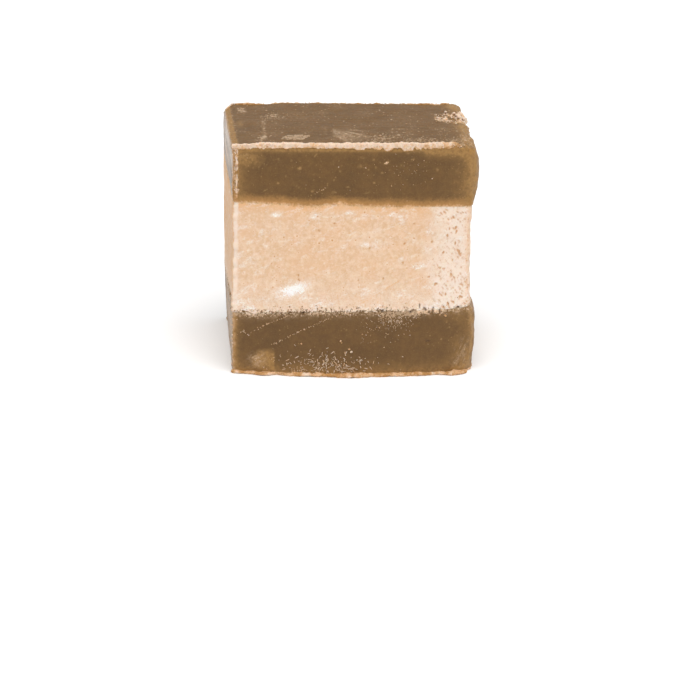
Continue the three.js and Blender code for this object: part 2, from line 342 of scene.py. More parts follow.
# On the front: x, z, half width, half height and lean of a paler oval in the brown, and of a dark pit
SOFT_SPOTS = (
    (-10.08, 33.22, 0.25, 0.25, 0), (-7.13, 31.99, 0.28, 0.32, 0), (-7.54, 29.19, 0.3, 0.16, 15),
    (-2.11, 28.25, 0.35, 0.2, 10), (1.75, 32.3, 0.3, 0.35, 0), (5.59, 32.68, 0.45, 0.22, 25),
    (-0.13, 29.12, 0.28, 0.12, 10), (2.74, 28.35, 0.45, 0.16, 10), (12.9, 31.66, 0.2, 0.26, 0),
    (15.87, 31.44, 0.24, 0.2, 30), (9.33, 33.33, 0.3, 0.14, 10), (-8.21, 33.14, 0.2, 0.16, 0),
    (-4.1, 28.6, 1.1, 0.05, 30), (-12.2, 28.55, 0.5, 0.1, 35), (-4.66, 33.83, 0.45, 0.12, 50),
    (2.04, 33.55, 0.25, 0.2, 0), (-12.95, 32.04, 0.18, 0.16, 0), (14.35, 33.87, 0.2, 0.15, 0),
    (3.72, 33.16, 0.2, 0.16, 0), (-15.1, 33.75, 0.8, 0.28, 8), (-14.2, 33.5, 0.5, 0.2, -5),
    (8.64, 34.2, 0.3, 0.16, 0), (-4.96, 31.04, 0.2, 0.2, 0), (-9.12, 30.62, 0.16, 0.2, 0),
)
DARK_PITS = (
    (10.55, 10.85, 0.1, 0.34, 0), (11.4, 10.35, 0.16, 0.32, 35), (12.55, 10.15, 0.12, 0.48, 0),
    (13.6, 9.95, 0.13, 0.36, -10), (9.3, 10, 0.24, 0.14, 10), (16.25, 10.5, 0.2, 0.12, 0),
    (11.88, 5.35, 0.32, 0.14, 0), (12, 9.85, 0.12, 0.2, 0), (5, 10.2, 0.2, 0.12, 20),
    (-6.7, 9.9, 0.3, 0.12, 20),
)
# On the pale layer's front: x, z, half length and lean of a pit
PALE_PITS = (
    (15.4, 24.4, 0.36, 35), (15.8, 22.8, 0.36, -10), (15.9, 22.2, 0.4, -15), (14.8, 22.7, 0.3, 10),
    (14.5, 21.6, 0.3, 20), (15.7, 20.4, 0.3, 0), (16.2, 19.2, 0.5, 35), (16.4, 18.7, 0.4, 35),
    (14, 19, 0.3, -30), (15.2, 15.6, 0.36, 20), (15.6, 15.1, 0.3, 30), (12.9, 14.2, 0.36, -35),
    (14.4, 12.6, 0.3, 0), (16.7, 12.1, 0.4, 60), (14.8, 11.1, 0.36, 30), (-2, 23.6, 0.22, 60),
    (-7.4, 15.7, 0.25, 0), (-7.3, 14.9, 0.22, 30), (-11.3, 17.3, 0.16, 0), (-4.3, 22.5, 0.16, 20),
    (3.1, 19.8, 0.25, 0), (8, 17.6, 0.25, 0), (9.8, 16.9, 0.16, 40), (5.1, 15.2, 0.2, 0),
    (8.3, 20.5, 0.16, 0), (9.6, 23.5, 0.16, 60), (1.5, 15, 0.2, 80), (12.3, 20.7, 0.16, 0),
    (11.9, 15.3, 0.2, 70),
)
# On the pale layer's front: x, z and half width of a whiter spot
WHITE_SPOTS = (
    (-10.3, 25, 0.7), (-4.8, 24.8, 0.7), (-3.8, 21.2, 0.45), (-0.8, 20.1, 0.6), (-14.4, 19.6, 0.45),
    (-9.4, 21.9, 0.2), (7.7, 24.5, 0.8), (3.6, 20.5, 1.3), (8.1, 18.1, 0.7), (10.4, 17.2, 0.8),
    (11.7, 22.3, 0.9), (0.3, 25.3, 0.6), (6.7, 25.1, 0.5), (-12.8, 22.4, 0.5), (-6.2, 18.6, 0.4),
)
# On the front: x and z of the two ends of a scratch, and how dense its grains are
SCRATCHES = (
    (-14.6, 6.4, -12.6, 7.7, 0.8), (-12.6, 7.7, -10.6, 8.6, 0.8), (-10.6, 8.6, -8.4, 9.6, 0.9),
    (-15.9, 6.8, -14.8, 6, 1), (-16.6, 6.1, -15.5, 6.9, 0.5), (-11.5, 4.6, -7.6, 6.8, 0.8),
    (-7.6, 6.8, -5.5, 7.8, 1), (-5.5, 7.8, -3, 9, 0.8), (-3, 9, 0.2, 10, 0.45),
    (-4.9, 28.1, -3.1, 29.1, 0.7),
)
# On the front: x, z and radius of a grain of sugar
LARGE_SPECKS = (
    (-7, 5.02, 0.14), (-1.14, 5.51, 0.18), (-0.99, 5.26, 0.12), (0.12, 4.26, 0.18), (0.42, 3.85, 0.2),
    (-0.44, 3.35, 0.13), (2.08, 6.57, 0.1), (5.32, 4.52, 0.1), (6.3, 29.3, 0.1), (-16.07, 28.59, 0.16),
    (5.55, 32.74, 0.17), (5.33, 32.66, 0.12), (5.76, 32.82, 0.1), (2.54, 32.01, 0.1), (12.22, 30.31, 0.1),
    (11.01, 33.03, 0.08), (-1.41, 32.11, 0.07), (14.4, 9.25, 0.2), (13.6, 9.4, 0.1), (-14.6, 10.1, 0.15),
    (-14.1, 9.95, 0.12),
)


# ---------------- relief and colour masks on the skin
# Bare numbers from here to the meshes are places and sizes of marks, in millimetres, and their strengths
def cells(point, size, density, seed):
    """For each point, how deep it lies in the nearest of some randomly placed round cells, 0 outside them."""
    scaled = point / size
    home = np.floor(scaled)
    depth = np.zeros(len(point))
    for step in np.ndindex(3, 3, 3):
        cell = home + np.array(step) - 1
        rand = [lattice(cell[:, 0] + seed + 7 * n, cell[:, 1] - 3 * n, cell[:, 2] + 5 * n) for n in range(4)]
        centre = cell + np.stack(rand[:3], -1)
        radius = np.where(rand[3] < density, 0.25 + 0.55 * rand[3] / density, 1e-6)
        distance = np.linalg.norm(scaled - centre, axis=1)
        depth = np.maximum(depth, 1.0 - distance / radius)
    return np.clip(depth, 0.0, 1.0)


def blot(u, v, centre, half, lean=0.0):
    """An oval mask on a face, 1 in its middle and 0 outside; lean is in degrees."""
    c, s = math.cos(math.radians(lean)), math.sin(math.radians(lean))
    du, dv = u - centre[0], v - centre[1]
    return np.clip(1.0 - np.hypot((c * du + s * dv) / half[0], (c * dv - s * du) / half[1]), 0.0, 1.0)


def patch(u, v, centre, half, lean=0.0, full=0.9):
    """An oval mask with a soft edge and a flat middle, where the plain oval is above full."""
    return smooth(blot(u, v, centre, half, lean), 0.0, full)


def line(u, v, start, end, width):
    """A thin straight mask from start to end on a face."""
    (u0, v0), (u1, v1) = start, end
    length = math.hypot(u1 - u0, v1 - v0)
    along = ((u - u0) * (u1 - u0) + (v - v0) * (v1 - v0)) / length
    across = ((v - v0) * (u1 - u0) - (u - u0) * (v1 - v0)) / length
    inside = smooth(along, -0.3, 0.3) * (1 - smooth(along, length - 0.3, length + 0.3))
    return hill(across, width) * inside


def slab(u, v, centre, half, shake):
    """A mask on a face with four ragged sides and cut corners, 1 inside and 0 outside."""
    beyond = (np.abs(u - centre[0]) / half[0]) ** 3 + (np.abs(v - centre[1]) / half[1]) ** 3
    return smooth(1.0 - beyond + 0.6 * shake, 0.0, 0.5)


def survey(skin):
    """What the relief and the colours need to know about each point of the skin."""
    x, y, z = skin.point.T
    out_x, out_y, out_z = skin.normal.T
    at = SimpleNamespace(x=x, y=y, z=z, missing=skin.missing)
    at.front, at.back = smooth(-out_y, 0.5, 0.85), smooth(out_y, 0.5, 0.85)
    at.left, at.right = smooth(-out_x, 0.5, 0.85), smooth(out_x, 0.4, 0.85)
    at.top, at.base = smooth(out_z, 0.6, 0.9), smooth(-out_z, 0.6, 0.9)
    at.wall = at.front + at.back + at.left + at.right
    at.left_half, at.front_half = skin.across < 0.5, skin.along < 0.5
    at.front_left = at.left_half & at.front_half
    at.over_low, at.over_high = z - skin.low, z - skin.high
    at.in_bottom, at.in_top = at.over_low < 0, at.over_high > 0
    at.pale = (at.over_low > 0) & (at.over_high < 0)
    at.from_top, at.from_side, at.from_end = HEIGHT - z, skin.edge_x, skin.edge_y
    at.corner = np.hypot(at.from_side, at.from_end)
    at.rough, at.broad = fractal(x, y, z, 0.5, 2), fractal(x, y, z, 2.2, 3)
    at.breaks = 0.55 + 0.45 * noise(x, y, z, 1.4)
    at.streak = fractal(y * 0.12, 0 * y, 1.5 * (z - 0.1 * y), 1.0, 4, 0.7)

    at.soft_end = np.clip(at.right + at.front * smooth(x + 1.4 * at.broad, 10.5, 15.5), 0, 1)
    at.soft_face = at.soft_end * (1 - 0.6 * hill(at.corner - 0.3, 0.5))
    at.chip = np.hypot((x - EDGE_CHIP["x"]) / EDGE_CHIP["half_x"], (y - EDGE_CHIP["y"]) / EDGE_CHIP["half_y"])
    at.chip = at.chip + 0.13 * at.rough
    at.in_chip = smooth(1.05 - at.chip, 0.0, 0.12) * smooth(z, HEIGHT - 2.0, HEIGHT - 1.2)
    at.lumps = np.zeros(len(z))
    inside = at.in_chip > 0
    broken = skin.point[inside]
    at.lumps[inside] = 0.6 * cells(broken, 0.85, 0.95, 11.0) + 0.55 * cells(broken, 0.4, 0.9, 5.0)

    at.cut_corner = smooth(CUT_CORNER - at.from_side + 0.2 * at.rough, 0.0, 0.2) * hill(at.from_end, 0.7)
    at.cut_corner *= at.front_left & at.in_top
    at.foot_corner = hill(at.from_side, 0.32) * at.front * at.left_half * (at.over_low < -0.2)
    at.left_band = at.left_half * smooth(LEFT_BAND - at.from_side + 0.08 * at.rough, -0.08, 0.12)
    at.left_band *= smooth(z, HEIGHT - 1.0, HEIGHT - 0.5)
    at.foot = hill(z, 0.4) * at.wall * at.breaks
    at.teeth = at.front * smooth(x, 9.9, 10.5) * (1 - smooth(x, 14.2, 14.6))
    at.dusty = slab(x - 0.35 * y, y, (-5.4, -7.0), (2.0, 1.5), at.rough)
    at.dark = np.zeros(len(z))
    for pit_x, pit_z, half_x, half_z, lean in DARK_PITS:
        oval = patch(x + 0.1 * at.rough, z, (pit_x, pit_z), (1.6 * half_x, 1.6 * half_z), lean, 0.6)
        at.dark = np.maximum(at.dark, at.front * oval)
    at.pits = pits(at, skin)
    return at


def pits(at, skin):
    """Small open bubbles at the soft end of the pale layer, leaning and stretched."""
    depth = np.zeros(len(at.z))
    where = at.pale & (at.soft_end > 0.02)
    x, y, z = skin.point[where].T
    along, across = (x + y - z) * 0.7, (x + y + z) * 0.7
    leaning = np.stack([0.45 * along, across, y], -1) + 0.06 * at.rough[where, None]
    share = smooth(at.soft_end[where] + 0.3 * at.broad[where], 0.2, 0.8)
    depth[where] = 0.65 * np.maximum(cells(leaning, 0.3, 0.16, 3.0), cells(leaning, 0.2, 0.34, 8.0)) * share
    for pit_x, pit_z, half, lean in PALE_PITS:
        oval = blot(at.x + 0.07 * at.rough, at.z, (pit_x, pit_z), (0.1 + 0.2 * half, half), lean)
        depth = np.maximum(depth, at.front * at.pale * oval * 1.6)
    return np.clip(depth, 0.0, 1.0)


def relief(at):
    """How far the surface stands out at each point, in millimetres."""
    x, y, z = at.x, at.y, at.z
    out = 0.014 * fractal(x, y, z, 0.9, 4) + 0.02 * at.broad
    out += at.right * 0.1 * fractal(x, y, z, 1.3, 3)
    out += (at.left + at.back) * 0.03 * fractal(x * 3, y * 3, z * 0.5 + 1.5 * y, 1.0, 3)
    out += at.top * (0.02 * fractal(x * 0.25, y * 2.2, z, 1.0, 3) + 0.04 * at.dusty)
    bulge = np.clip(1 - ((y + 1) / 11.5) ** 2, 0, 1)
    out += TOP_STANDS_OUT * at.left * smooth(at.over_high, 0.3, 2.0) * bulge
    back_rise = 0.22 * hill(x + 5.5, 9.0) - 0.1 - 0.14 * hill(x + 15.6, 2.0) + 0.16 * hill(x - 7.5, 3.0)
    back_rise = back_rise * (x < 12) - 0.14 * hill(x - 13.6, 1.2)
    out += at.top * back_rise * smooth(y, 2.0, 12.0)
    out -= 0.15 * at.right * at.front_half * hill(at.over_high - 0.6, 0.7)
    out -= 0.22 * at.right * hill(at.over_low + 0.1, 0.5) * hill(y + 10.5, 3.0)
    out += hill(at.over_low - 0.1, 0.5) * at.wall * 0.07 * fractal(x, y, z, 0.32, 2)
    out += (at.cut_corner + at.foot) * 0.1 * fractal(x, y, z, 0.45, 2) + 0.05 * at.cut_corner
    pale_corner = 0.24 * hill(at.corner, 1.2) * hill(at.over_low - 0.5, 2.4)
    pale_corner += 0.14 * hill(at.corner, 0.5) * fractal(0, 3, z, 1.1, 3, 0.9)
    out += pale_corner * at.pale * at.front_left
    out -= 0.12 * smooth(at.pits, 0.0, 0.6) + 0.2 * at.dark
    crater = EDGE_CHIP["depth"] * np.clip(1 - at.chip**2, 0, 1) * (0.7 + 0.5 * noise(x, y, z, 1.1))
    out += at.in_chip * (0.34 * at.lumps - crater)
    out += smooth(at.missing, 0.0, 0.2) * 0.12 * fractal(x, y, z, 0.5, 2)
    return out * (1 - at.base)


def tan_mask(at):
    """Where brown fudge is painted tan: partly its own colour, as on the soft right side and in a few marks,
    and partly painted light, a glow through thin edges and the foot and a lift of the shaded right side and
    of the line under the front lip.
    """
    x, y, z = at.x, at.y, at.z
    thin = np.minimum(at.corner, np.hypot(at.from_side, at.from_top))
    tan = 0.45 * hill(thin, np.where(at.in_bottom, 0.9, 1.3)) * (1 - at.top * at.left_half)
    tan += 0.9 * at.left_band + 0.8 * at.cut_corner + 0.4 * hill(at.corner, 1.8) * at.front_left * at.in_top
    # The right side is tan partly in its own colour and partly as painted light that lifts it out of shade;
    # the foot's tan is a painted glow.
    tan += at.right * (0.62 + 0.2 * at.broad) + at.wall * hill(z, 1.0) * 0.55
    front = ~at.left_half * hill(at.from_side, 3.0) * (0.5 + 0.35 * at.broad)
    front += 0.8 * at.left_half * hill(at.from_side, 0.6) * at.in_bottom * (1 + 0.4 * at.rough)
    front += 1.1 * hill(at.from_top - 0.3, 0.9) * smooth(x, 10.4, 12.0)
    # Just under the front lip the tan is painted light on the line that the lip shades; along the top edge
    # and the foot it is a painted glow.
    front += 0.3 * hill(at.from_top, 0.9) + 0.9 * hill(at.from_top - 0.35, 0.28) + 0.35 * hill(z - 0.6, 1.5)
    blotch = blot(x + 0.5 * at.broad, z + 0.3 * at.rough, (-12.2, 2.3), (2.6, 2.3), 12)
    blotch *= smooth(-10.9 - x, -0.1, 0.3)
    front += smooth(blotch, 0, 0.7) * (1.05 + 0.5 * at.rough)
    front += blot(x, z, (-14.3, 33.2), (2.4, 1.6)) * (0.8 + 0.4 * at.rough)
    top = hill(at.from_side, 1.6) * (0.6 + 0.4 * at.rough + 0.35 * at.broad)
    top = (top + hill(np.hypot(x - 16.2, y - 10.6), 1.3)) * ~at.left_half
    top += 0.5 * blot(x, y, (-16.3, 0.6), (0.8, 2.5)) + hill(at.from_end, 0.35) * ~at.front_half
    return tan + at.front * front + at.top * top


def white_and_highlight_mask(at):
    """Whiter places, most of them in the pale layer, and a painted highlight on the pale front."""
    x, z = at.x, at.z
    u, v = x + 0.35 * at.rough, z + 0.3 * at.rough
    # The two ovals near x -8, z 13 are a painted highlight: a reflection laid on the pale front as white
    # colour.
    white = 0.45 * patch(u, v, (-8.2, 13.3), (4.2, 1.6), 22)
    white += 0.5 * patch(u, v, (-7.7, 13.6), (2.2, 1.1), 28) * (0.9 + 0.3 * at.rough)
    for spot_x, spot_z, half in WHITE_SPOTS:
        white += 0.42 * patch(u, v, (spot_x, spot_z), (1.7 * half, half), 10) * (0.75 + 1.1 * at.rough)
    white += 0.4 * blot(x, z, (-14.5, 10.3), (1.1, 0.7)) + 0.2 * at.teeth * hill(at.over_low - 0.4, 0.7)
    white = white * at.front + 0.19 * at.wall * hill(at.over_low - 0.6, 3.2) + 0.3 * at.soft_face
    white += 0.3 * smooth(fractal(x * 0.6, at.y, z * 1.3 - 0.3 * x, 1.1, 4, 0.8), 0.2, 1.3)
    return np.minimum(at.pale * white, 0.62 + 0.4 * (z < 16) * (x < 0))


def bloom_mask(at):
    """Soft paler haze on brown fudge: wiped places on the top, and down the cut left side pale streaks with a
    painted sheen, reflected light laid on as colour.
    """
    x, y, z = at.x, at.y, at.z
    turn, far = np.degrees(np.arctan2(y + 2.2, x + 2.4)), np.hypot(x + 2.4, y + 2.2)
    fan = smooth(turn, -90, -80) * (1 - smooth(turn, -38, -26)) * (1 - smooth(far, 4.5, 8.5))
    rays = 0.7 + 0.9 * fractal(0.14 * turn, 0.2 * far, 0 * far, 1.0, 3, 0.8)
    haze = 0.6 * fan * np.clip(rays, 0, 1.6) + 0.09 + 0.05 * at.broad
    haze += 0.4 * line(x, y, (-2.4, -2.3), (2.8, -3.6), 0.22) * (0.7 + 0.7 * at.rough)
    haze += 0.3 * line(x, y, (6.2, -2.4), (8.4, -2.4), 0.2) + 0.2 * line(x, y, (9.0, -1.3), (11.2, -1.2), 0.2)
    haze += 0.28 * line(x, y, (-12.9, 2.5), (-12.1, -8.3), 0.22) * (1.0 + 1.2 * at.rough)
    haze += 0.12 * line(x, y, (-3.4, -1.2), (-3.3, -5.8), 0.2)
    haze += 0.45 * blot(x, y, (-16.3, 8.7), (0.9, 2.6), 14)
    haze += 0.25 * hill(at.from_side - LEFT_BAND - 0.1, 0.1) * at.left_half * (0.6 + at.rough)

    # The left side's band near the top and its bottom layer are painted paler, partly bloom and partly
    # painted sheen.
    sheen_and_bloom = 0.7 * hill(z - 0.1 * y - 31.5, 0.8) * smooth(y, -9, -1)
    sheen_and_bloom += 0.5 * hill(z - 6.2, 0.9) * hill(y + 3, 3) + 0.6 * (at.over_low < 2)
    ends = smooth(11.8 + 0.5 * at.broad - y, 0, 2.4)
    ends *= 1 - 0.8 * hill(at.from_end, 1.4) * at.front_half * smooth(at.over_low, 0, 2)
    bloom = at.top * haze + at.left * (0.17 + 0.36 * at.streak + sheen_and_bloom) * ends

    combed = 0.55 + fractal(0.9 * (x + 0.6 * z), 0 * x, 4.0 * (z - 0.6 * x), 1.0, 3, 0.8)
    fibres = 0.08 + fractal(4.0 * (x - 0.45 * z), 0 * x, 1.0 * z, 1.0, 3, 0.8)
    marks = patch(x, z, (-13.6, 2.3), (2.3, 1.8), 20, 0.8) * np.clip(combed, 0, 1.2)
    marks += patch(x, z, (16.9, 3.0), (1.9, 3.6), -12, 0.7) * np.clip(fibres, 0, 1)
    under_seam = hill(at.over_low + 0.2, 0.7) * (0.8 + at.rough) * (at.over_low < 0.3)
    return bloom + 0.5 * at.front * marks + 0.3 * at.wall * under_seam


def dust_mask(at):
    """How thickly fine pale crumb lies on the brown fudge."""
    x, y, z = at.x, at.y, at.z
    dust = 1.1 * at.dusty + 0.7 * blot(x, y, (-12.5, -6.8), (1.3, 2.4))
    dust += 0.55 * blot(x, y, (-11.4, 5.0), (3.0, 3.2)) + 0.7 * blot(x, y, (-16.2, 8.7), (1.1, 2.8), 14)
    dust += 0.26 * smooth(x, 0.0, 3.0) * hill(y + 7.5, 3.6) * (0.9 + 0.5 * at.broad) + 0.3 + 0.12 * at.broad
    dust += 0.15 * hill(at.from_side, 2.0) * ~at.left_half * smooth(2 - y, 0, 3)
    spray = 0.45 * patch(x, z, (7.3, 8.9), (5.6, 3.0), 8) + 0.35 * line(x, z, (2.3, 8.3), (2.0, 4.4), 0.4)
    spray += 0.4 * blot(x, z, (-15.0, 33.75), (1.4, 0.6), 6) + 0.4 * blot(x, z, (-13.6, 2.2), (3.0, 1.8), 12)
    spray += 0.5 * line(x, z, (16.4, 2.6), (17.3, 3.6), 0.2)
    spray += 0.4 * line(x, z, (15.8, 1.4), (16.4, 2.2), 0.15)
    wall = (0.6 + 0.2 * at.broad) * hill(at.over_low + 0.15, 0.6) + 0.14
    return at.top * dust + at.front * spray + at.wall * wall


def spot_mask(at):
    """Round paler spots in the brown fudge, each with its own strength."""
    u, v = at.x + 0.16 * at.rough, at.z + 0.12 * at.broad
    spot = np.zeros(len(at.z))
    for spot_x, spot_z, half_x, half_z, lean in SOFT_SPOTS:
        oval = patch(u, v, (spot_x, spot_z), (1.4 * half_x, 1.4 * half_z), lean)
        spot = np.maximum(spot, at.front * oval * (0.4 + 0.55 * lattice(spot_x, spot_z, 2.0)))
    return spot


def seam_distance(at, lower):
    """How far inside the pale layer a point is, in millimetres, from the seam that is nearer."""
    x, y, z = at.x, at.y, at.z
    from_low = at.over_low - (0.1 + 0.14 * smooth(x, 8, 12)) * fractal(x, y, z, 0.9, 4, 0.8)
    from_low += 0.5 * at.teeth * (1 + 0.4 * at.rough) - 0.2 + 0.6 * at.left * smooth(y, -1, 8)
    from_low -= at.left * (0.25 + 1.3 * hill(y + 9, 7)) * smooth(at.from_end, 0.0, 0.8)
    from_high = at.over_high - 0.03 - 0.16 * fractal(x, y, z, 1.3, 4, 0.7)
    from_high += at.front * (0.3 * hill(x + 5.5, 2.2) - 0.35 * blot(x, z, (-1.1, 26.9), (0.9, 0.6)))
    return np.where(lower, from_low, -from_high)


def torn_and_cream(at):
    """Where the skin is torn open, and how creamy the crumb is there."""
    x, y, z = at.x, at.y, at.z
    torn = at.in_chip * smooth(at.lumps + 0.3 * at.rough, 0.05, 0.4) + 0.9 * smooth(at.missing, 0.0, 0.15)
    torn += at.foot * smooth(at.breaks + 0.5 * at.rough, 0.5, 0.9)
    torn += at.cut_corner * (0.5 + 0.4 * smooth(at.from_side, 0.25, 0.5) + 0.5 * at.rough)
    torn += 0.75 * at.foot_corner * (0.8 + 0.6 * at.rough)
    chip_cream = 0.5 + 0.7 * smooth(at.lumps, 0.15, 0.7) + 0.45 * smooth(x, 15.5, 17.0) * smooth(y, 2.5, 4.0)
    ridge = hill(at.from_side - RIDGE_IN + 0.1 * at.rough, 0.17) * smooth(z, 27, 29)
    corner_cream = np.where(at.in_top, 0.15 + 0.35 * at.rough + ridge, 0.35 + 0.35 * at.rough)
    near_corner = at.front_left & (at.corner < 1.2) & (at.foot < 0.5)
    cream = np.where(near_corner, corner_cream, 0.5 + 0.5 * at.rough)
    return torn, np.where(at.in_chip > 0, chip_cream, cream)


def colour_masks(at):
    """The shares, 0 to 1, of each colour of the fudge, and seam_mm, the distance into the pale layer."""
    x, y, z = at.x, at.y, at.z
    lower = at.over_low < 8.0
    torn, cream = torn_and_cream(at)
    # Painted sheen on the cut left side: whitish cream near its top and low on the bottom layer stands in for
    # light that side reflects.
    chalk = 0.42 * hill(at.from_top - 1.8, 1.5) + 0.2 * hill(at.over_low + 5.5, 3.2)
    cut_edge = smooth(0.93 - at.from_side + 0.12 * at.rough, 0.0, 0.4) * smooth(at.from_side, 0.0, 0.2)
    cut_edge *= at.front * at.left_half * (0.86 + 0.25 * at.rough)
    soft_cream = 0.8 * at.soft_face * (0.95 + 0.3 * at.broad + 0.2 * at.rough)
    warm = 0.4 * at.left + 0.8 * at.front * line(x, z, (1.7, 11.2), (7.6, 14.9), 0.08)
    warm += 0.7 * at.pale * ~at.left_half * at.front_half * hill(at.corner - 0.5, 0.6)
    busy = at.wall * (0.2 + 0.3 * smooth(z, 29.0, 33.5)) + 0.5 * at.right
    busy += 0.5 * at.front * smooth(x, 13.5, 16.5)
    shares = {
        "lower": 1.0 * lower,
        "ragged": np.where(lower, 1.0 - 0.3 * at.teeth, 0.3),
        "tan": tan_mask(at),
        "torn": torn,
        "cream": cream,
        "white": white_and_highlight_mask(at),
        "chalk": at.left * chalk * smooth(10.5 - y, 0, 2) * (0.8 + 0.5 * at.streak),
        "edge": at.pale * (cut_edge + soft_cream),
        "warm": warm,
        "spot": spot_mask(at),
        "pit": 0.8 * smooth(at.pits, 0.05, 0.5) * (1 - at.in_chip),
        "pores": 0.45 + 0.35 * at.soft_end,
        "dark": at.dark,
        "bloom": bloom_mask(at),
        "dust": dust_mask(at),
        "busy": busy,
        "dashes": at.top * (0.22 + 0.5 * hill(y + 6.5, 4.0) * smooth(x, -1, 3)),
        "gloss": 0.6 * at.left * at.in_top + 0.3 * at.back,
        "dull": 0.35 * at.left * at.pale,
    }
    masks = {key: np.clip(value, 0, 1) for key, value in shares.items()}
    return {"seam_mm": seam_distance(at, lower), **masks}


# ---------------- meshes
def make_mesh(name, look, point, faces, masks):
    """Writes one object that rides on the body. Points are in the block's millimetres, faces is a list of
    arrays with a row of vertex numbers for every face of one size, and look is its slot and its material."""
    slot, material = look
    mesh = bpy.data.meshes.new(name)
    sizes = np.concatenate([np.full(len(block), block.shape[1]) for block in faces])
    corners = np.concatenate([block.ravel() for block in faces])
    mesh.vertices.add(len(point))
    mesh.vertices.foreach_set("co", ((point - OUTLINE_MIDDLE) * MM).astype(np.float32).ravel())
    mesh.loops.add(len(corners))
    mesh.loops.foreach_set("vertex_index", corners.astype(np.int32))
    mesh.polygons.add(len(sizes))
    mesh.polygons.foreach_set("loop_start", (np.cumsum(sizes) - sizes).astype(np.int32))
    mesh.update(calc_edges=True)
    mesh.polygons.foreach_set("use_smooth", np.ones(len(sizes), bool))
    for mask, values in masks.items():
        mesh.attributes.new(mask, "FLOAT", "POINT").data.foreach_set("value", values.astype(np.float32))
    mesh.materials.append(material)
    piece = bpy.data.objects.new(name, mesh)
    bpy.context.scene.collection.objects.link(piece)
    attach(piece, "root")
    return piece


def layer_piece(name, look, rows, grids, caps):
    """One layer: its rows of the wall, the base or top grid it has, and a flat cap inside each hidden seam,
    given as its row, how far it stands above that row, and whether it looks down."""
    ring = skin.ring
    faces = [skin.wall_quads[rows[0] * ring : rows[1] * ring], *grids]
    points, masks, count = [skin.point], skin.masks, len(skin.point)
    for row, rise, looks_down in caps:
        border = skin.ring_at(row)
        after = np.roll(border, -1)
        inset = lerp(skin.point[border], skin.point[border].mean(axis=0), CAP_INSET)
        inset[:, 2] = skin.point[border, 2] + rise
        ids = count + np.arange(ring)
        rim = np.stack([border, after, np.roll(ids, -1), ids], -1)
        faces += [rim[:, ::-1], ids[None, ::-1]] if looks_down else [rim, ids[None, :]]
        points.append(inset)
        count += ring
        masks = {key: np.concatenate([value, value[border]]) for key, value in masks.items()}
    point = np.concatenate(points)
    used = np.unique(np.concatenate([block.ravel() for block in faces]))
    renumber = np.zeros(len(point), int)
    renumber[used] = np.arange(len(used))
    faces = [renumber[block] for block in faces]
    return make_mesh(name, look, point[used], faces, {key: value[used] for key, value in masks.items()})


def torn_masks(count, **more):
    """The masks of torn fudge, which is tan to cream all over and hardly shines."""
    masks = {"seam_mm": -3.0, "torn": 1.0, "tan": 0.8, "cream": 0.8, "dull": 0.7}
    masks.update(more)
    return {key: np.broadcast_to(value, count) for key, value in masks.items()}


# ---------------- torn edges
def distances(path):
    """How far along a path of points each of them is."""
    return np.concatenate([[0.0], np.cumsum(np.linalg.norm(np.diff(path, axis=0), axis=1))])


def resample(path, step):
    """Points at even steps along a path of points, and their distances along it."""
    lengths = distances(path)
    stations = np.linspace(0.0, lengths[-1], max(8, round(lengths[-1] / step)))
    return np.stack([np.interp(stations, lengths, path[:, axis]) for axis in range(3)], -1), stations


def directions(spine, step):
    """Unit vectors along a path, evened out over its corners."""
    run = max(3, round(BURR_TURN / step))
    steps = np.gradient(spine, axis=0)
    padded = np.pad(steps, ((run, run), (0, 0)), "edge")
    evened = np.stack([np.convolve(padded[:, axis], np.ones(2 * run + 1), "valid") for axis in range(3)], -1)
    return evened / np.linalg.norm(evened, axis=1, keepdims=True)


def closed_spline(keys, steps):
    """A smooth closed section through its key points, for every station."""
    before, after, later = np.roll(keys, 1, 1), np.roll(keys, -1, 1), np.roll(keys, -2, 1)
    out = []
    for t in np.arange(steps) / steps:
        cubic = -before + 3 * keys - 3 * after + later
        square = 2 * before - 5 * keys + 4 * after - later
        out.append(0.5 * (2 * keys + t * (after - before) + t * t * square + t**3 * cubic))
    return np.stack(out, 2).reshape(len(keys), -1, 2)


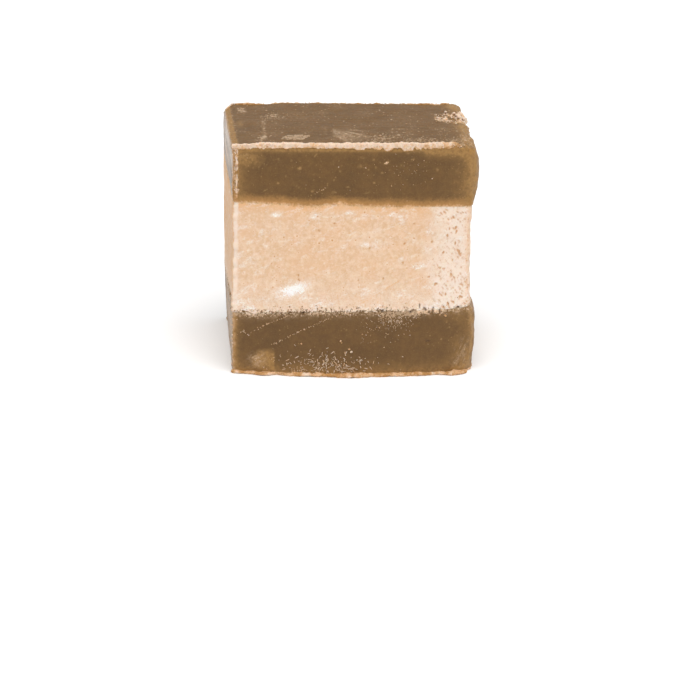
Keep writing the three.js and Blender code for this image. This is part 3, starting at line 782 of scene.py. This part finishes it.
def burr(name, look, path, edge_out, sizes, cream, seed, tapers=(0.6, 0.6), step=BURR_STEP):
    """A torn strip along an edge between two faces. Its four sizes are rise, hang, reach and inner: it stands
    up by rise from one face, whose direction is edge_out, and lies back over inner of it; it stands out by
    reach from the other face and hangs down it by hang. Each size, and cream, is a number or an array with a
    value for each point of the path."""
    spine, station = resample(path, step)
    face_out = np.cross(directions(spine, step), edge_out)
    spread = [np.interp(station, distances(path), np.broadcast_to(v, len(path))) for v in (*sizes, cream)]
    ends = smooth(station, 0, tapers[0]) * (1 - smooth(station, station[-1] - tapers[1], station[-1]))
    up, down, out, back = (np.maximum(v * ends, 0.015) for v in spread[:4])
    zero = 0 * up
    keys = [
        (zero - 0.3, zero - 0.3),
        (zero - 0.08, -0.92 * down),
        (0.6 * out, -down),
        (out, -0.55 * down),
        (0.95 * out, 0.1 * up),
        (0.5 * out, 0.8 * up),
        (-0.2 * back, up),
        (-0.7 * back, 0.75 * up),
        (-back, zero - 0.05),
        (-0.8 * back, zero - 0.3),
    ]
    section = closed_spline(np.stack([np.stack(k, -1) for k in keys], 1), SECTION_STEPS)
    count = section.shape[1]
    point = spine[:, None] + section[..., :1] * face_out[:, None] + section[..., 1:] * np.asarray(edge_out)
    point = point.reshape(-1, 3)
    x, y, z = point.T
    shake = np.stack([fractal(x + seed + 9 * n, y, z, 0.42, 3, 0.65) for n in range(3)], -1)
    size = np.repeat(np.clip((up + down + out) / 0.9, 0.25, 1.2) * ends, count)
    point += BURR_SHAKE * shake * size[:, None]
    point[:, 2] = np.maximum(point[:, 2], FLOOR_GAP)
    ids = np.arange(len(point)).reshape(-1, count)
    after = np.roll(ids, -1, 1)
    quads = np.stack([ids[:-1], after[:-1], after[1:], ids[1:]], -1).reshape(-1, 4)

    high = section[..., 1].ravel()
    up, down, creamy = (np.repeat(v, count) for v in (up, down, spread[4]))
    # Creamier towards the crest and more orange lower down: partly the torn crumb's own colour, partly
    # painted light on the crest and painted shade below it.
    shade = creamy + 0.35 * fractal(x + 5, y, z, 0.8, 3, 0.7) - 0.1
    shade += 0.35 * np.clip(high / up, 0, 1) + 0.2 * np.clip(high / down, -1, 0)
    brown_rim = (edge_out[2] > 0) * (high < 0) * (1 - smooth(high + down, 0.0, 0.19))
    cream = np.clip(shade - 0.75 * brown_rim, 0, 1)
    torn = np.clip(0.5 + 1.5 * creamy, 0, 1) * (1 - 0.7 * brown_rim)
    masks = torn_masks(len(point), cream=cream, torn=torn)
    return make_mesh(name, look, point, [quads, ids[:1, ::-1], ids[-1:]], masks)


def wander(along, mean, spread, seed, wave=1.2):
    """A size that wanders about its mean along an edge."""
    return np.maximum(mean + spread * fractal(along, seed + 0 * along, 0 * along, wave, 3), 0.02)


def wandering(along, *sizes):
    """Several such sizes, each given as its mean, spread and seed, and its wave if it has one of its own."""
    return [wander(along, *size) for size in sizes]


# ---------------- crumbs
def icosahedron():
    golden = (1 + 5**0.5) / 2
    flat = [(-1, golden, 0), (1, golden, 0), (-1, -golden, 0), (1, -golden, 0)]
    corners = np.array(flat + [(c, a, b) for a, b, c in flat] + [(b, c, a) for a, b, c in flat])
    corners /= math.hypot(1, golden)
    faces = []
    for a, b, c in itertools.permutations(range(12), 3):
        sides = np.linalg.norm(corners[[a, b, c]] - corners[[b, c, a]], axis=1)
        outward = np.linalg.det(corners[[a, b, c]]) > 0
        if a < min(b, c) and max(sides) < 1.1 and outward:
            faces.append((a, b, c))
    return corners, np.array(faces)


def scatter(weight, count):
    """Random places on the skin, more of them where the weight is greater, with their normals."""
    chance = np.clip(weight, 0, None) * skin.area
    pick = rng.choice(len(chance), count, p=chance / chance.sum())
    return skin.point[pick] + rng.normal(0, 0.05, (count, 3)), skin.normal[pick]


def on_front(x, z):
    """The skin's points nearest to places on the front, with their normals."""
    front_ids = np.flatnonzero(at.front > 0.9)
    flat = skin.point[front_ids][:, [0, 2]]
    pick = front_ids[[int(np.argmin(((flat - place) ** 2).sum(1))) for place in np.stack([x, z], -1)]]
    point = skin.point[pick].copy()
    point[:, 0], point[:, 2] = x, z
    return point, skin.normal[pick]


def beside(path, count, out, up):
    """Random places along a torn edge, up to out in front of it and up above it."""
    pick = rng.integers(0, len(path), count)
    share = rng.uniform(0, 1, (count, 3))
    place = path[pick] + share[:, :1] * out + share[:, 1:2] * up
    normal = np.asarray(out) + np.asarray(up)
    return place, np.broadcast_to(normal / np.linalg.norm(normal), (count, 3))


def drawn(value, count):
    """A random number for each lump where value is a pair of limits, and value itself where it isn't."""
    return rng.uniform(*value, count) if isinstance(value, tuple) else value


def crumbs(name, look, groups, size, cream, sunk=0.3, long=(0.9, 1.5), wide=(0.7, 1.0), **masks):
    """Small irregular lumps that lie along the surface and are partly sunk into it, one at each place of the
    groups. Size, cream, long and wide are pairs of limits to draw from, or the values themselves."""
    centres, normals = (np.concatenate(part) for part in zip(*groups))
    count = len(centres)
    size = drawn(size, count)
    masks = torn_masks(count, cream=drawn(cream, count), **masks)
    ball, faces = icosahedron()
    first = np.cross(normals, rng.normal(size=(count, 3)))
    first /= np.linalg.norm(first, axis=1, keepdims=True)
    turn = np.stack([first, np.cross(normals, first), normals], 1)
    spread = [drawn(limits, count) for limits in (long, wide, wide)]
    shape = np.stack(spread, -1)[:, None] * rng.uniform(0.75, 1.2, (count, len(ball), 1))
    lump = (ball[None] * shape) @ turn * size[:, None, None]
    seat = centres + normals * (size * (1 - 2 * sunk))[:, None]
    point = (lump + seat[:, None]).reshape(-1, 3)
    point[:, 2] = np.maximum(point[:, 2], FLOOR_GAP)
    all_faces = (faces[None] + len(ball) * np.arange(count)[:, None, None]).reshape(-1, 3)
    masks = {key: np.repeat(value, len(ball)) for key, value in masks.items()}
    return make_mesh(name, look, point, [all_faces], masks)


# ---------------- materials
MASKS = """seam_mm lower ragged tan torn cream white chalk edge warm spot pit pores dark bloom dust busy
dashes gloss dull""".split()
BROWN_DEEP, BROWN_LIGHT = srgb(106, 75, 35), srgb(117, 84, 42)
BROWN_DARK, BROWN_GRAIN = srgb(93, 66, 31), srgb(135, 100, 55)
SEAM_GLOW, TAN = srgb(176, 129, 72), srgb(158, 119, 66)
SOFT_SPECK, SPOT = srgb(170, 132, 80), srgb(172, 134, 82)
BLOOM, DUST, DARK_PIT = srgb(186, 156, 124), srgb(206, 176, 144), srgb(92, 66, 38)
PALE_DEEP, PALE_LIGHT, PALE_WARM = srgb(219, 181, 144), srgb(232, 201, 171), srgb(227, 185, 147)
PALE_GRAIN, PALE_EDGE = srgb(242, 220, 198), srgb(220, 170, 120)
# The white below also paints the highlight on the pale front, and the cut edge's cream also paints the sheen
# on the left side.
WHITE, CUT_EDGE_AND_SHEEN, PIT = srgb(238, 237, 234), srgb(233, 215, 199), srgb(196, 136, 74)
CRUST, PEACH, CREAM = srgb(174, 128, 78), srgb(208, 168, 128), srgb(221, 196, 174)
# The bottom layer's brown is painted darker than the top layer's: painted shade that offsets the light thrown
# up from the floor.
BOTTOM_SHADED_TONE, TOP_TONE, PALE_TONE = 0.85, 0.9, 0.94


class Tree:
    """Makes shader nodes in one line each, and links those of its arguments that are sockets."""

    def __init__(self, material):
        material.use_nodes = True
        self.nodes, self.links = material.node_tree.nodes, material.node_tree.links
        self.nodes.clear()

    def add(self, kind, inputs=(), output=0, **settings):
        node = self.nodes.new("ShaderNode" + kind)
        for key, value in settings.items():
            setattr(node, key, value)
        for key, value in dict(inputs).items():
            if isinstance(value, bpy.types.NodeSocket):
                self.links.new(value, node.inputs[key])
            else:
                node.inputs[key].default_value = value
        return node.outputs[output] if len(node.outputs) else None

    def mask(self, name):
        return self.add("Attribute", output=2, attribute_name=name)

    def math(self, operation, a, b=0.0, clamp=False):
        return self.add("Math", {0: a, 1: b}, operation=operation, use_clamp=clamp)

    def times(self, *values):
        product = values[0]
        for value in values[1:]:
            product = self.math("MULTIPLY", product, value)
        return product

    def plus(self, *values, clamp=False):
        total = values[0]
        for value in values[1:]:
            total = self.math("ADD", total, value)
        total.node.use_clamp = clamp
        return total

    def centred(self, value, strength):
        """A noise of 0..1 as a push to either side of zero."""
        keys = {0: value, 1: strength, 2: -0.5 * strength}
        return self.add("Math", keys, operation="MULTIPLY_ADD")

    def step(self, value, low, high, start=0.0, end=1.0):
        keys = {0: value, 1: low, 2: high, 3: start, 4: end}
        return self.add("MapRange", keys, interpolation_type="SMOOTHSTEP")

    def mix(self, share, a, b):
        return self.add("Mix", {0: share, 6: a, 7: b}, output=2, data_type="RGBA")

    def coats(self, colour, *coats):
        """A colour with others laid over it one by one, each given as its share and its colour."""
        for share, coat in coats:
            colour = self.mix(share, colour, coat)
        return colour

    def noise(self, place, wave_mm, detail=3.0, roughness=0.55):
        keys = {"Vector": place, "Scale": 1 / (wave_mm * MM), "Detail": detail, "Roughness": roughness}
        return self.add("TexNoise", keys)

    def stretched(self, place, scale):
        return self.add("Mapping", {"Vector": place, "Scale": scale})

    def warped(self, place, wave_mm, reach_mm):
        """The place, moved about by noise, so that what is drawn there has an uneven outline."""
        swirl = self.noise(place, wave_mm, 2.0).node.outputs["Color"]
        keys = {0: swirl, 1: (reach_mm * MM,) * 3, 2: place}
        return self.add("VectorMath", keys, operation="MULTIPLY_ADD")

    def dots(self, place, wave_mm, share, smallest, size):
        """Dots in some of the cells of a random pattern: how far each point is from its cell's dot, the dot's
        radius, whether the cell has one, and one more random number of the cell. Share is how many cells
        have one, 0 to 1, and the radii are in cells."""
        distance = self.add("TexVoronoi", {"Vector": place, "Scale": 1 / (wave_mm * MM)})
        draw = self.add("SeparateColor", {0: distance.node.outputs["Color"]})
        radius = self.step(draw.node.outputs[1], 0.0, 1.0, smallest * size, size)
        return distance, radius, self.math("LESS_THAN", draw, share), draw.node.outputs[2]

    def specks(self, place, wave_mm, share, size, blur=0.5):
        """Soft-edged spots of uneven strength."""
        distance, radius, present, draw = self.dots(place, wave_mm, share, 0.3, size)
        spot = self.step(distance, radius, self.times(radius, 1 - blur))
        return self.times(spot, present, self.step(draw, 0.0, 1.0, 0.45, 1.0))

    def pores(self, place, wave_mm, share, size):
        """Small open pores, as a light rim and the hole inside it."""
        distance, radius, present, _ = self.dots(place, wave_mm, share, 0.35, size)
        hole = self.step(distance, radius, self.times(radius, 0.6))
        rim = self.step(distance, self.times(radius, 3.0), self.times(radius, 1.2))
        return self.times(rim, present), self.times(hole, present)

    def coverage(self, grain, mask):
        """Ragged speckles that cover more of the surface where the mask is stronger."""
        edge = self.math("MULTIPLY_ADD", mask, -0.36)
        edge.node.inputs[2].default_value = 0.76
        return self.step(grain, edge, self.plus(edge, 0.08))


def toned(colour, tone):
    """A colour made darker, or lighter where tone is above 1."""
    return tuple(tone * channel for channel in colour[:3]) + (1.0,)


def seam_share(tree, mask, grain):
    """Where the pale layer is, 0 to 1, and how many millimetres inside it, with grains along its seams."""
    pushes = ((grain.speck, 3.0), (grain.fine, 1.2), (grain.middling, 0.8))
    shake = tree.plus(*(tree.centred(*push) for push in pushes))
    from_seam = tree.plus(mask["seam_mm"], tree.times(shake, mask["ragged"]))
    width = tree.step(mask["lower"], 0, 1, 0.32, 0.28)
    return tree.step(from_seam, tree.times(width, -1.0), width), from_seam


def brown_colour(tree, mask, grain, from_seam, tone):
    upper = tree.math("SUBTRACT", 1.0, mask["lower"])
    uneven = tree.plus(
        tree.step(grain.middling, 0.3, 0.65, 0.65, 1.0), tree.step(grain.speck, 0.35, 0.65, -0.22, 0.22)
    )
    tan = tree.math("MAXIMUM", tree.times(mask["tan"], uneven), 0.0, True)
    large_specks = tree.specks(grain.swirled, 1.0, mask["busy"], 0.28, 0.8)
    small_specks = tree.specks(grain.swirled, 0.4, mask["busy"], 0.42, 0.8)
    dents = tree.times(tree.step(grain.long, 0.48, 0.3, 0.0, 0.55), tree.step(mask["dust"], 0.18, 0.3))
    dashes = tree.specks(tree.stretched(grain.swirled, (0.75, 0.75, 1.0)), 0.42, mask["dashes"], 0.36, 0.6)
    return tree.coats(
        toned(BROWN_DEEP, tone),
        (tree.step(grain.middling, 0.3, 0.75), toned(BROWN_LIGHT, tone)),
        (tree.step(grain.broad, 0.4, 0.75, 0, 0.5), toned(BROWN_DARK, tone)),
        (tree.step(grain.fine, 0.45, 0.75, 0, 0.4), toned(BROWN_GRAIN, tone)),
        (tree.times(tree.step(from_seam, -1.6, -0.05), upper, 0.9), SEAM_GLOW),
        (tan, TAN),
        (tree.times(large_specks, 0.6), SOFT_SPECK),
        (tree.times(small_specks, 0.5), SOFT_SPECK),
        (tree.times(mask["spot"], tree.step(grain.speck, 0.3, 0.6, 0.2, 0.85)), SPOT),
        (tree.times(mask["bloom"], tree.step(grain.long, 0.3, 0.7, 0.4, 1.3)), BLOOM),
        (dents, toned(BROWN_LIGHT, tone)),
        (tree.times(tree.coverage(grain.long, mask["dust"]), 0.55), DUST),
        (tree.times(dashes, 0.8), DUST),
    )


def pale_colour(tree, mask, grain, from_seam, tone):
    upper = tree.math("SUBTRACT", 1.0, mask["lower"])
    swirl = tree.noise(tree.stretched(grain.swirled, (0.4, 1.0, 1.2)), 1.6, 5.0, 0.7)
    glow = tree.times(tree.step(from_seam, 1.9, 0.0), upper, tree.step(grain.middling, 0.25, 0.75, 0.35, 1.0))
    pale = tree.coats(
        toned(PALE_DEEP, tone),
        (tree.step(grain.middling, 0.28, 0.72), toned(PALE_LIGHT, tone)),
        (tree.step(grain.broad, 0.4, 0.7, 0, 0.55), toned(PALE_WARM, tone)),
        (tree.step(swirl, 0.45, 0.8, 0, 0.45), toned(PALE_GRAIN, tone)),
        (tree.step(grain.speck, 0.5, 0.75, 0, 0.45), toned(PALE_GRAIN, tone)),
        (tree.step(grain.fine, 0.5, 0.3, 0, 0.36), toned(PALE_EDGE, tone)),
        (glow, PALE_EDGE),
        (mask["warm"], PALE_EDGE),
    )
    for wave_mm, size, strength in ((1.1, 0.16, 0.8), (0.55, 0.24, 0.6)):
        rim, hole = tree.pores(grain.swirled, wave_mm, mask["pores"], size)
        pale = tree.coats(
            pale, (tree.times(rim, 0.2), toned(PALE_GRAIN, tone)), (tree.times(hole, strength), PIT)
        )
    return pale


def torn_colour(tree, mask, grain):
    """Torn crumb: tan in its hollows, peach, and cream on its crests."""
    shake = tree.plus(tree.centred(grain.fine, 1.2), tree.centred(grain.middling, 1.2))
    creamy = tree.plus(mask["cream"], shake)
    return tree.coats(CRUST, (tree.step(creamy, 0.0, 0.5), PEACH), (tree.step(creamy, 0.45, 1.0), CREAM))


def fudge(slot, brown_tone, glow):
    """A slot and its material: fudge in all its colours, brown, pale, tan at thin edges and cream where torn,
    with the masks to say where."""
    material = bpy.data.materials.new(slot)
    tree = Tree(material)
    place = tree.add("TexCoord", output=3)
    mask = {key: tree.mask(key) for key in MASKS}
    grain = SimpleNamespace(
        swirled=tree.warped(place, 0.4, 0.3),
        fine=tree.noise(place, 0.2, 3.0, 0.6),
        speck=tree.noise(place, 0.33, 3.0, 0.65),
        long=tree.noise(tree.stretched(place, (1.0, 0.5, 1.0)), 0.3, 3.0, 0.7),
        middling=tree.noise(place, 0.7),
        broad=tree.noise(place, 3.5, 2.0),
    )
    is_pale, from_seam = seam_share(tree, mask, grain)
    # Where the white is strongest, as in the painted highlight on the pale front, it is laid on solid.
    solid = tree.step(mask["white"], 0.45, 0.9, 0.0, 0.45)
    whitened = tree.times(mask["white"], tree.plus(tree.step(grain.fine, 0.35, 0.65, 0.35, 1.5), solid))
    colour = tree.coats(
        brown_colour(tree, mask, grain, from_seam, brown_tone),
        (is_pale, pale_colour(tree, mask, grain, from_seam, PALE_TONE)),
        (tree.math("MINIMUM", tree.times(whitened, is_pale), 1.0), WHITE),
        # painted sheen on the left side, laid on in the cut edge's cream
        (tree.times(mask["chalk"], tree.step(grain.speck, 0.3, 0.7, 0.7, 1.2)), CUT_EDGE_AND_SHEEN),
        (tree.times(mask["edge"], tree.step(grain.fine, 0.3, 0.7, 0.75, 1.0)), CUT_EDGE_AND_SHEEN),
        (mask["pit"], PIT),
        (tree.times(mask["dark"], 0.85), DARK_PIT),
        (mask["torn"], torn_colour(tree, mask, grain)),
    )
    matt = [tree.step(is_pale, 0, 1, 0.45, 0.6), tree.centred(grain.middling, 0.3)]
    matt += [tree.times(mask[key], more) for key, more in (("gloss", -0.2), ("dull", 0.5), ("torn", 0.2))]
    grit = tree.times(grain.fine, tree.plus(tree.step(is_pale, 0, 1, 0.5, 1.0), mask["torn"]))
    bump = tree.add("Bump", {"Height": grit, "Strength": 0.4, "Distance": 0.06 * MM})
    keys = {
        "Base Color": colour,
        "Roughness": tree.plus(*matt, clamp=True),
        "Normal": bump,
        "Subsurface Weight": glow,
        "Subsurface Radius": (1.0, 0.55, 0.3),
        "Subsurface Scale": 0.5 * MM,
        "Specular IOR Level": 0.32,
    }
    tree.add("OutputMaterial", {"Surface": tree.add("BsdfPrincipled", keys)})
    return slot, material


# ---------------- the block
TOP_BROWN = fudge("brown_fudge_top", TOP_TONE, 0.2)
PALE = fudge("pale_fudge", TOP_TONE, 0.25)
# The bottom layer's brown is the top layer's, painted darker as shade that offsets the floor's light.
BOTTOM_BROWN = fudge("brown_fudge_bottom", BOTTOM_SHADED_TONE, 0.2)

skin = Skin()
at = survey(skin)
skin.masks = colour_masks(at)
skin.point = skin.point + skin.normal * relief(at)[:, None]
skin.point[:, 2] = np.maximum(skin.point[:, 2], 0.0)
LOW, HIGH, LAST = ROWS[0], ROWS[0] + ROWS[1], sum(ROWS)
bottom = layer_piece("bottom_fudge", BOTTOM_BROWN, (0, LOW), [skin.base_quads], [(LOW, CAP_NEAR, False)])
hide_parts("bottom_layer")
middle = layer_piece("middle_fudge", PALE, (LOW, HIGH), [], [(LOW, CAP_FAR, True), (HIGH, -CAP_FAR, False)])
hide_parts("middle_layer")
top = layer_piece("top_fudge", TOP_BROWN, (HIGH, LAST), [skin.top_quads], [(HIGH, -CAP_NEAR, True)])
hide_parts("top_layer")

FRONT, BACK, LEFT, UP, DOWN = (
    np.array(v, float) for v in ((0, -1, 0), (0, 1, 0), (-1, 0, 0), (0, 0, 1), (0, 0, -1))
)
top_ring, base_ring = skin.point[skin.ring_at(LAST)], skin.point[skin.ring_at(0)]


def front_lip(edge):
    """The lip of torn fudge on the front top edge, with flaps that hang down."""
    x = edge[:, 0]
    rise = 0.31 + 0.34 * smooth(x, -15.5, -12) - 0.14 * hill(x + 4.8, 2.4) + 0.08 * hill(x - 7.8, 0.8)
    hang = 0.2 + 0.16 * band(x, 10.7, 16.0, 0.6)
    for middle_x, half, more in LIP_FLAPS:
        hang = hang + 0.85 * more * smooth(half - np.abs(x - middle_x), 0.0, 0.14)
    cream = 0.85 - 0.3 * smooth(x, 10.5, 12) - 0.5 * smooth(x, 14, 16)
    reach, inner = (0.14, 0.05, 5, 0.7), (0.65, 0.28, 7, 1.7)
    sizes = wandering(x, (rise, 0.05, 3, 0.9), (hang, 0.04, 4, 0.5), reach, inner)
    burr("front_lip", TOP_BROWN, edge, UP, sizes, cream, 1.0, (0.12, 1.5))


front_edge = top_ring[: COLUMNS + 1]
front_edge = front_edge[front_edge[:, 0] < FRONT_LIP_END]
front_lip(np.concatenate([front_edge[:1] + [-0.3, -0.05, -0.1], front_edge]) + LIP_SEAT * UP)

back_edge = top_ring[COLUMNS + DEEP : 2 * COLUMNS + DEEP + 1]
back_edge = back_edge[(back_edge[:, 0] > BACK_LIP_ENDS[0]) & (back_edge[:, 0] < BACK_LIP_ENDS[1])]
x = back_edge[:, 0]
sizes = wandering(x, (0.16, 0.12, 11), (0.25, 0.1, 12), (0.2, 0.08, 13), (0.3, 0.1, 14))
burr("back_lip", TOP_BROWN, back_edge, UP, sizes, wander(x, 0.05, 0.3, 15), 2.0)

chip_edge = [(-18.75, 9.3, 34.85), (-18.45, 10.1, 34.95), (-18.2, 10.6, 35), (-17.95, 11.8, 35)]
chip_edge, along = resample(np.array([*chip_edge, (-17.7, 12.2, 34.95)]), 0.1)
sizes = wandering(along, (0.12, 0.1, 21, 0.6), (0.12, 0.08, 22), (0.08, 0.05, 23), (0.25, 0.08, 24))
burr("chip_edge", TOP_BROWN, chip_edge, UP, sizes, 0.4, 3.0, (0.3, 0.3))


def upright(column, rows):
    """The skin's points up one of its columns."""
    return skin.point[np.arange(rows[0], rows[1] + 1) * skin.ring + column % skin.ring]


def corner_ridge(name, look, column, rows, edge_out, mean, seed, cream):
    """A thin crumbly line up a corner, with gaps."""
    path = upright(column, rows)
    up = path[:, 2]
    there = smooth(fractal(0, seed, up, 1.6, 3, 0.8), -0.4, 0.4)
    sizes = [wander(up, mean, 0.6 * mean, seed + n, 0.6) * there for n in range(4)]
    burr(name, look, path, edge_out, sizes, there * wander(up, cream, 0.3, seed + 4, 0.8), seed, (0.3, 0.3))


ridge_column = int(np.argmin(np.abs(skin.edge_x[: COLUMNS // 2] - RIDGE_IN)))
top_rows, bottom_rows, high_rows = (HIGH + 1, LAST - 3), (3, LOW - 2), (HIGH + ROWS[2] // 4, LAST - 3)
corner_ridge("top_ridge_inner", TOP_BROWN, ridge_column, high_rows, LEFT, 0.16, 31.0, 1.1)
corner_ridge("top_ridge_outer", TOP_BROWN, -1, top_rows, LEFT, 0.06, 32.0, 0.25)
corner_ridge("bottom_ridge_outer", BOTTOM_BROWN, -1, bottom_rows, LEFT, 0.06, 33.0, 0.4)
corner_ridge("top_ridge_back", TOP_BROWN, 2 * COLUMNS + DEEP, top_rows, BACK, 0.14, 34.0, 0.45)

foot = np.roll(base_ring, -COLUMNS - DEEP, axis=0)[::-1]
at_front = smooth(-foot[:, 1], 11.5, 12.3)
at_left = smooth(-foot[:, 0], 16.9, 17.3) * (1 - at_front)
lobes = sum(more * hill(foot[:, 0] - x, half) for x, half, more in FOOT_LOBES)
hang, reach, cream = wandering(
    distances(foot),
    (0.2 + 0.2 * at_front - 0.1 * at_left, 0.12, 41, 1.6),
    (0.2 + at_front * (0.35 + lobes) - 0.15 * at_left, 0.12, 42, 1.4),
    (0.42 + 0.1 * at_front - 0.5 * at_left, 0.4, 43),
)
burr("base_burr", BOTTOM_BROWN, foot, DOWN, (0.1, hang, reach, 0.3), cream, 4.0, step=FOOT_STEP)

# ---------------- crumbs, grains and scratches; the order of what follows sets the random draws
rng = np.random.default_rng(7)
x, y, z = at.x, at.y, at.z
brown = ~at.pale & (at.base < 0.5)
front_brown = at.front * brown

seam_weight = at.wall * brown * hill(at.over_low + 0.35, 0.4) * (0.6 + 0.5 * at.rough)
fan = front_brown * patch(x, z, (7.0, 9.2), (5.2, 3.0), 8)
fan = fan + 0.25 * front_brown * blot(x, z, (5.0, 7.4), (4.5, 3.5))
groups = [scatter(seam_weight, 80), scatter(fan * (0.6 + 0.8 * at.rough), 290)]
crumbs("seam_grains", BOTTOM_BROWN, groups, (0.025, 0.07), (0.4, 1.0), 0.5, (1.0, 2.2))

groups = [scatter(at.wall * at.pale * hill(at.over_low - 0.6, 0.5) * (0.6 + 0.5 * at.rough), 200)]
crumbs("dark_grains", PALE, groups, (0.04, 0.1), -0.5, torn=0.4, tan=0.1)

speck_x, speck_z, speck_size = np.array(LARGE_SPECKS).T
groups, sizes = [on_front(speck_x, speck_z)], [speck_size]
for x0, z0, x1, z1, density in SCRATCHES:
    share = rng.uniform(0, 1, int(8 * density * math.hypot(x1 - x0, z1 - z0)))
    shaken = rng.normal(0, 0.05, len(share))
    groups.append(on_front(lerp(x0, x1, share) - shaken, lerp(z0, z1, share) + shaken))
    sizes.append(rng.uniform(0.035, 0.085, len(share)))
groups.append(scatter(front_brown * hill(x - 9.3, 3.4) * hill(z - 31.2, 2.2), 60))
groups.append(scatter(brown * (0.4 * at.front + at.top + 0.6 * at.wall), 110))
sizes += [rng.uniform(0.03, 0.06, 60), rng.uniform(0.025, 0.055, 110)]
crumbs("sugar_specks", TOP_BROWN, groups, np.concatenate(sizes), (0.2, 0.85), 0.45)

spray = front_brown * hill(z - 1.3, 1.7) * hill(x + 3.4, 5.2) * smooth(z, 0.3, 0.8) * (0.7 + 0.6 * at.rough)
groups = [scatter(spray, 300)]
crumbs("shavings", BOTTOM_BROWN, groups, (0.03, 0.075), (0.5, 1.1), 0.3, (1.5, 6.0), (0.6, 1.0))

large = at.in_chip * blot(x, y, (17.1, 5.2), (1.1, 2.8))
groups = [scatter(at.in_chip * (0.3 + at.lumps), 70), scatter(large, 14)]
sizes = np.concatenate([rng.uniform(0.07, 0.2, 70), rng.uniform(0.3, 0.5, 14)])
crumbs("chip_crumbs", TOP_BROWN, groups, sizes, (0.7, 1.2))

flakes = at.top * hill(y + 9.0, 3.2) * smooth(x, 0.5, 5.0) * (1 - smooth(x, 15.0, 16.5)) * (0.5 + at.rough)
groups = [scatter(flakes, 150)]
crumbs("top_flakes", TOP_BROWN, groups, (0.05, 0.13), 1.0, 0.84, (1.5, 3.5), (0.8, 1.1), torn=0.45)

groups = [
    beside(front_edge, 120, 0.2 * FRONT, 0.45 * UP),
    beside(chip_edge, 30, 0.15 * FRONT, 0.15 * UP),
    beside(back_edge, 120, 0.2 * BACK, 0.15 * UP),
    beside(upright(-1, top_rows), 30, 0.12 * FRONT, 0.15 * LEFT),
    beside(upright(ridge_column, high_rows), 60, 0.1 * FRONT, 0.35 * LEFT),
]
crumbs("edge_crumbs", TOP_BROWN, groups, (0.04, 0.11), (0.5, 1.0))
groups = [
    beside(foot[at_front > 0.5], 200, 0.3 * FRONT, 0.3 * UP),
    beside(upright(-1, bottom_rows), 20, 0.1 * FRONT, 0.12 * LEFT),
]
crumbs("foot_crumbs", BOTTOM_BROWN, groups, (0.05, 0.13), (0.4, 1.0))


# ---------------- floor, light and camera
def stage_floor():
    mesh = bpy.data.meshes.new("floor")
    corners = [(2.5 * x, 2.5 * y, 0) for x, y in ((-1, -1), (1, -1), (1, 1), (-1, 1))]
    mesh.from_pydata(corners, [], [(0, 1, 2, 3)])
    floor = bpy.data.objects.new("floor", mesh)
    bpy.context.scene.collection.objects.link(floor)
    material = bpy.data.materials.new("floor")
    tree = Tree(material)
    shader = tree.add("BsdfPrincipled", {"Base Color": (0.95, 0.95, 0.95, 1), "Roughness": 0.9})
    tree.add("OutputMaterial", {"Surface": shader})
    mesh.materials.append(material)


def soft_light(name, direction, width, strength):
    """Even light from one side, as wide as a large diffuser: width is in degrees."""
    data = bpy.data.lights.new(name, "SUN")
    data.angle, data.energy = math.radians(width), strength
    light = bpy.data.objects.new(name, data)
    light.rotation_euler = (-Vector(direction)).to_track_quat("-Z", "Y").to_euler()
    light.location = Vector(direction) * 0.5
    bpy.context.scene.collection.objects.link(light)


stage_floor()
world = bpy.data.worlds.new("studio")
bpy.context.scene.world = world
world.use_nodes = True
world.node_tree.nodes["Background"].inputs["Color"].default_value = (1, 1, 1, 1)
world.node_tree.nodes["Background"].inputs["Strength"].default_value = 0.42
soft_light("key", (0.08, -0.3, 0.95), 60, 2.75)
soft_light("front_fill", (0.25, -0.9, 0.3), 60, 0.25)

CAMERA_PITCH = math.radians(20.36)
CAMERA_DISTANCE = 382.9
CAMERA_TARGET = np.array([0.245, -3.885, 0.455])
camera_data = bpy.data.cameras.new("camera")
camera_data.lens = 128.57
camera_data.sensor_width = 36.0
camera_data.clip_start, camera_data.clip_end = 0.01, 20.0
camera = bpy.data.objects.new("camera", camera_data)
view_line = np.array([0.0, math.cos(CAMERA_PITCH), -math.sin(CAMERA_PITCH)])
camera.location = (CAMERA_TARGET - OUTLINE_MIDDLE - view_line * CAMERA_DISTANCE) * MM
camera.rotation_euler = (math.radians(90) - CAMERA_PITCH, 0.0, 0.0)
bpy.context.scene.collection.objects.link(camera)
bpy.context.scene.camera = camera
bpy.context.scene.view_settings.view_transform = "Standard"
bpy.context.scene.view_settings.look = "None"
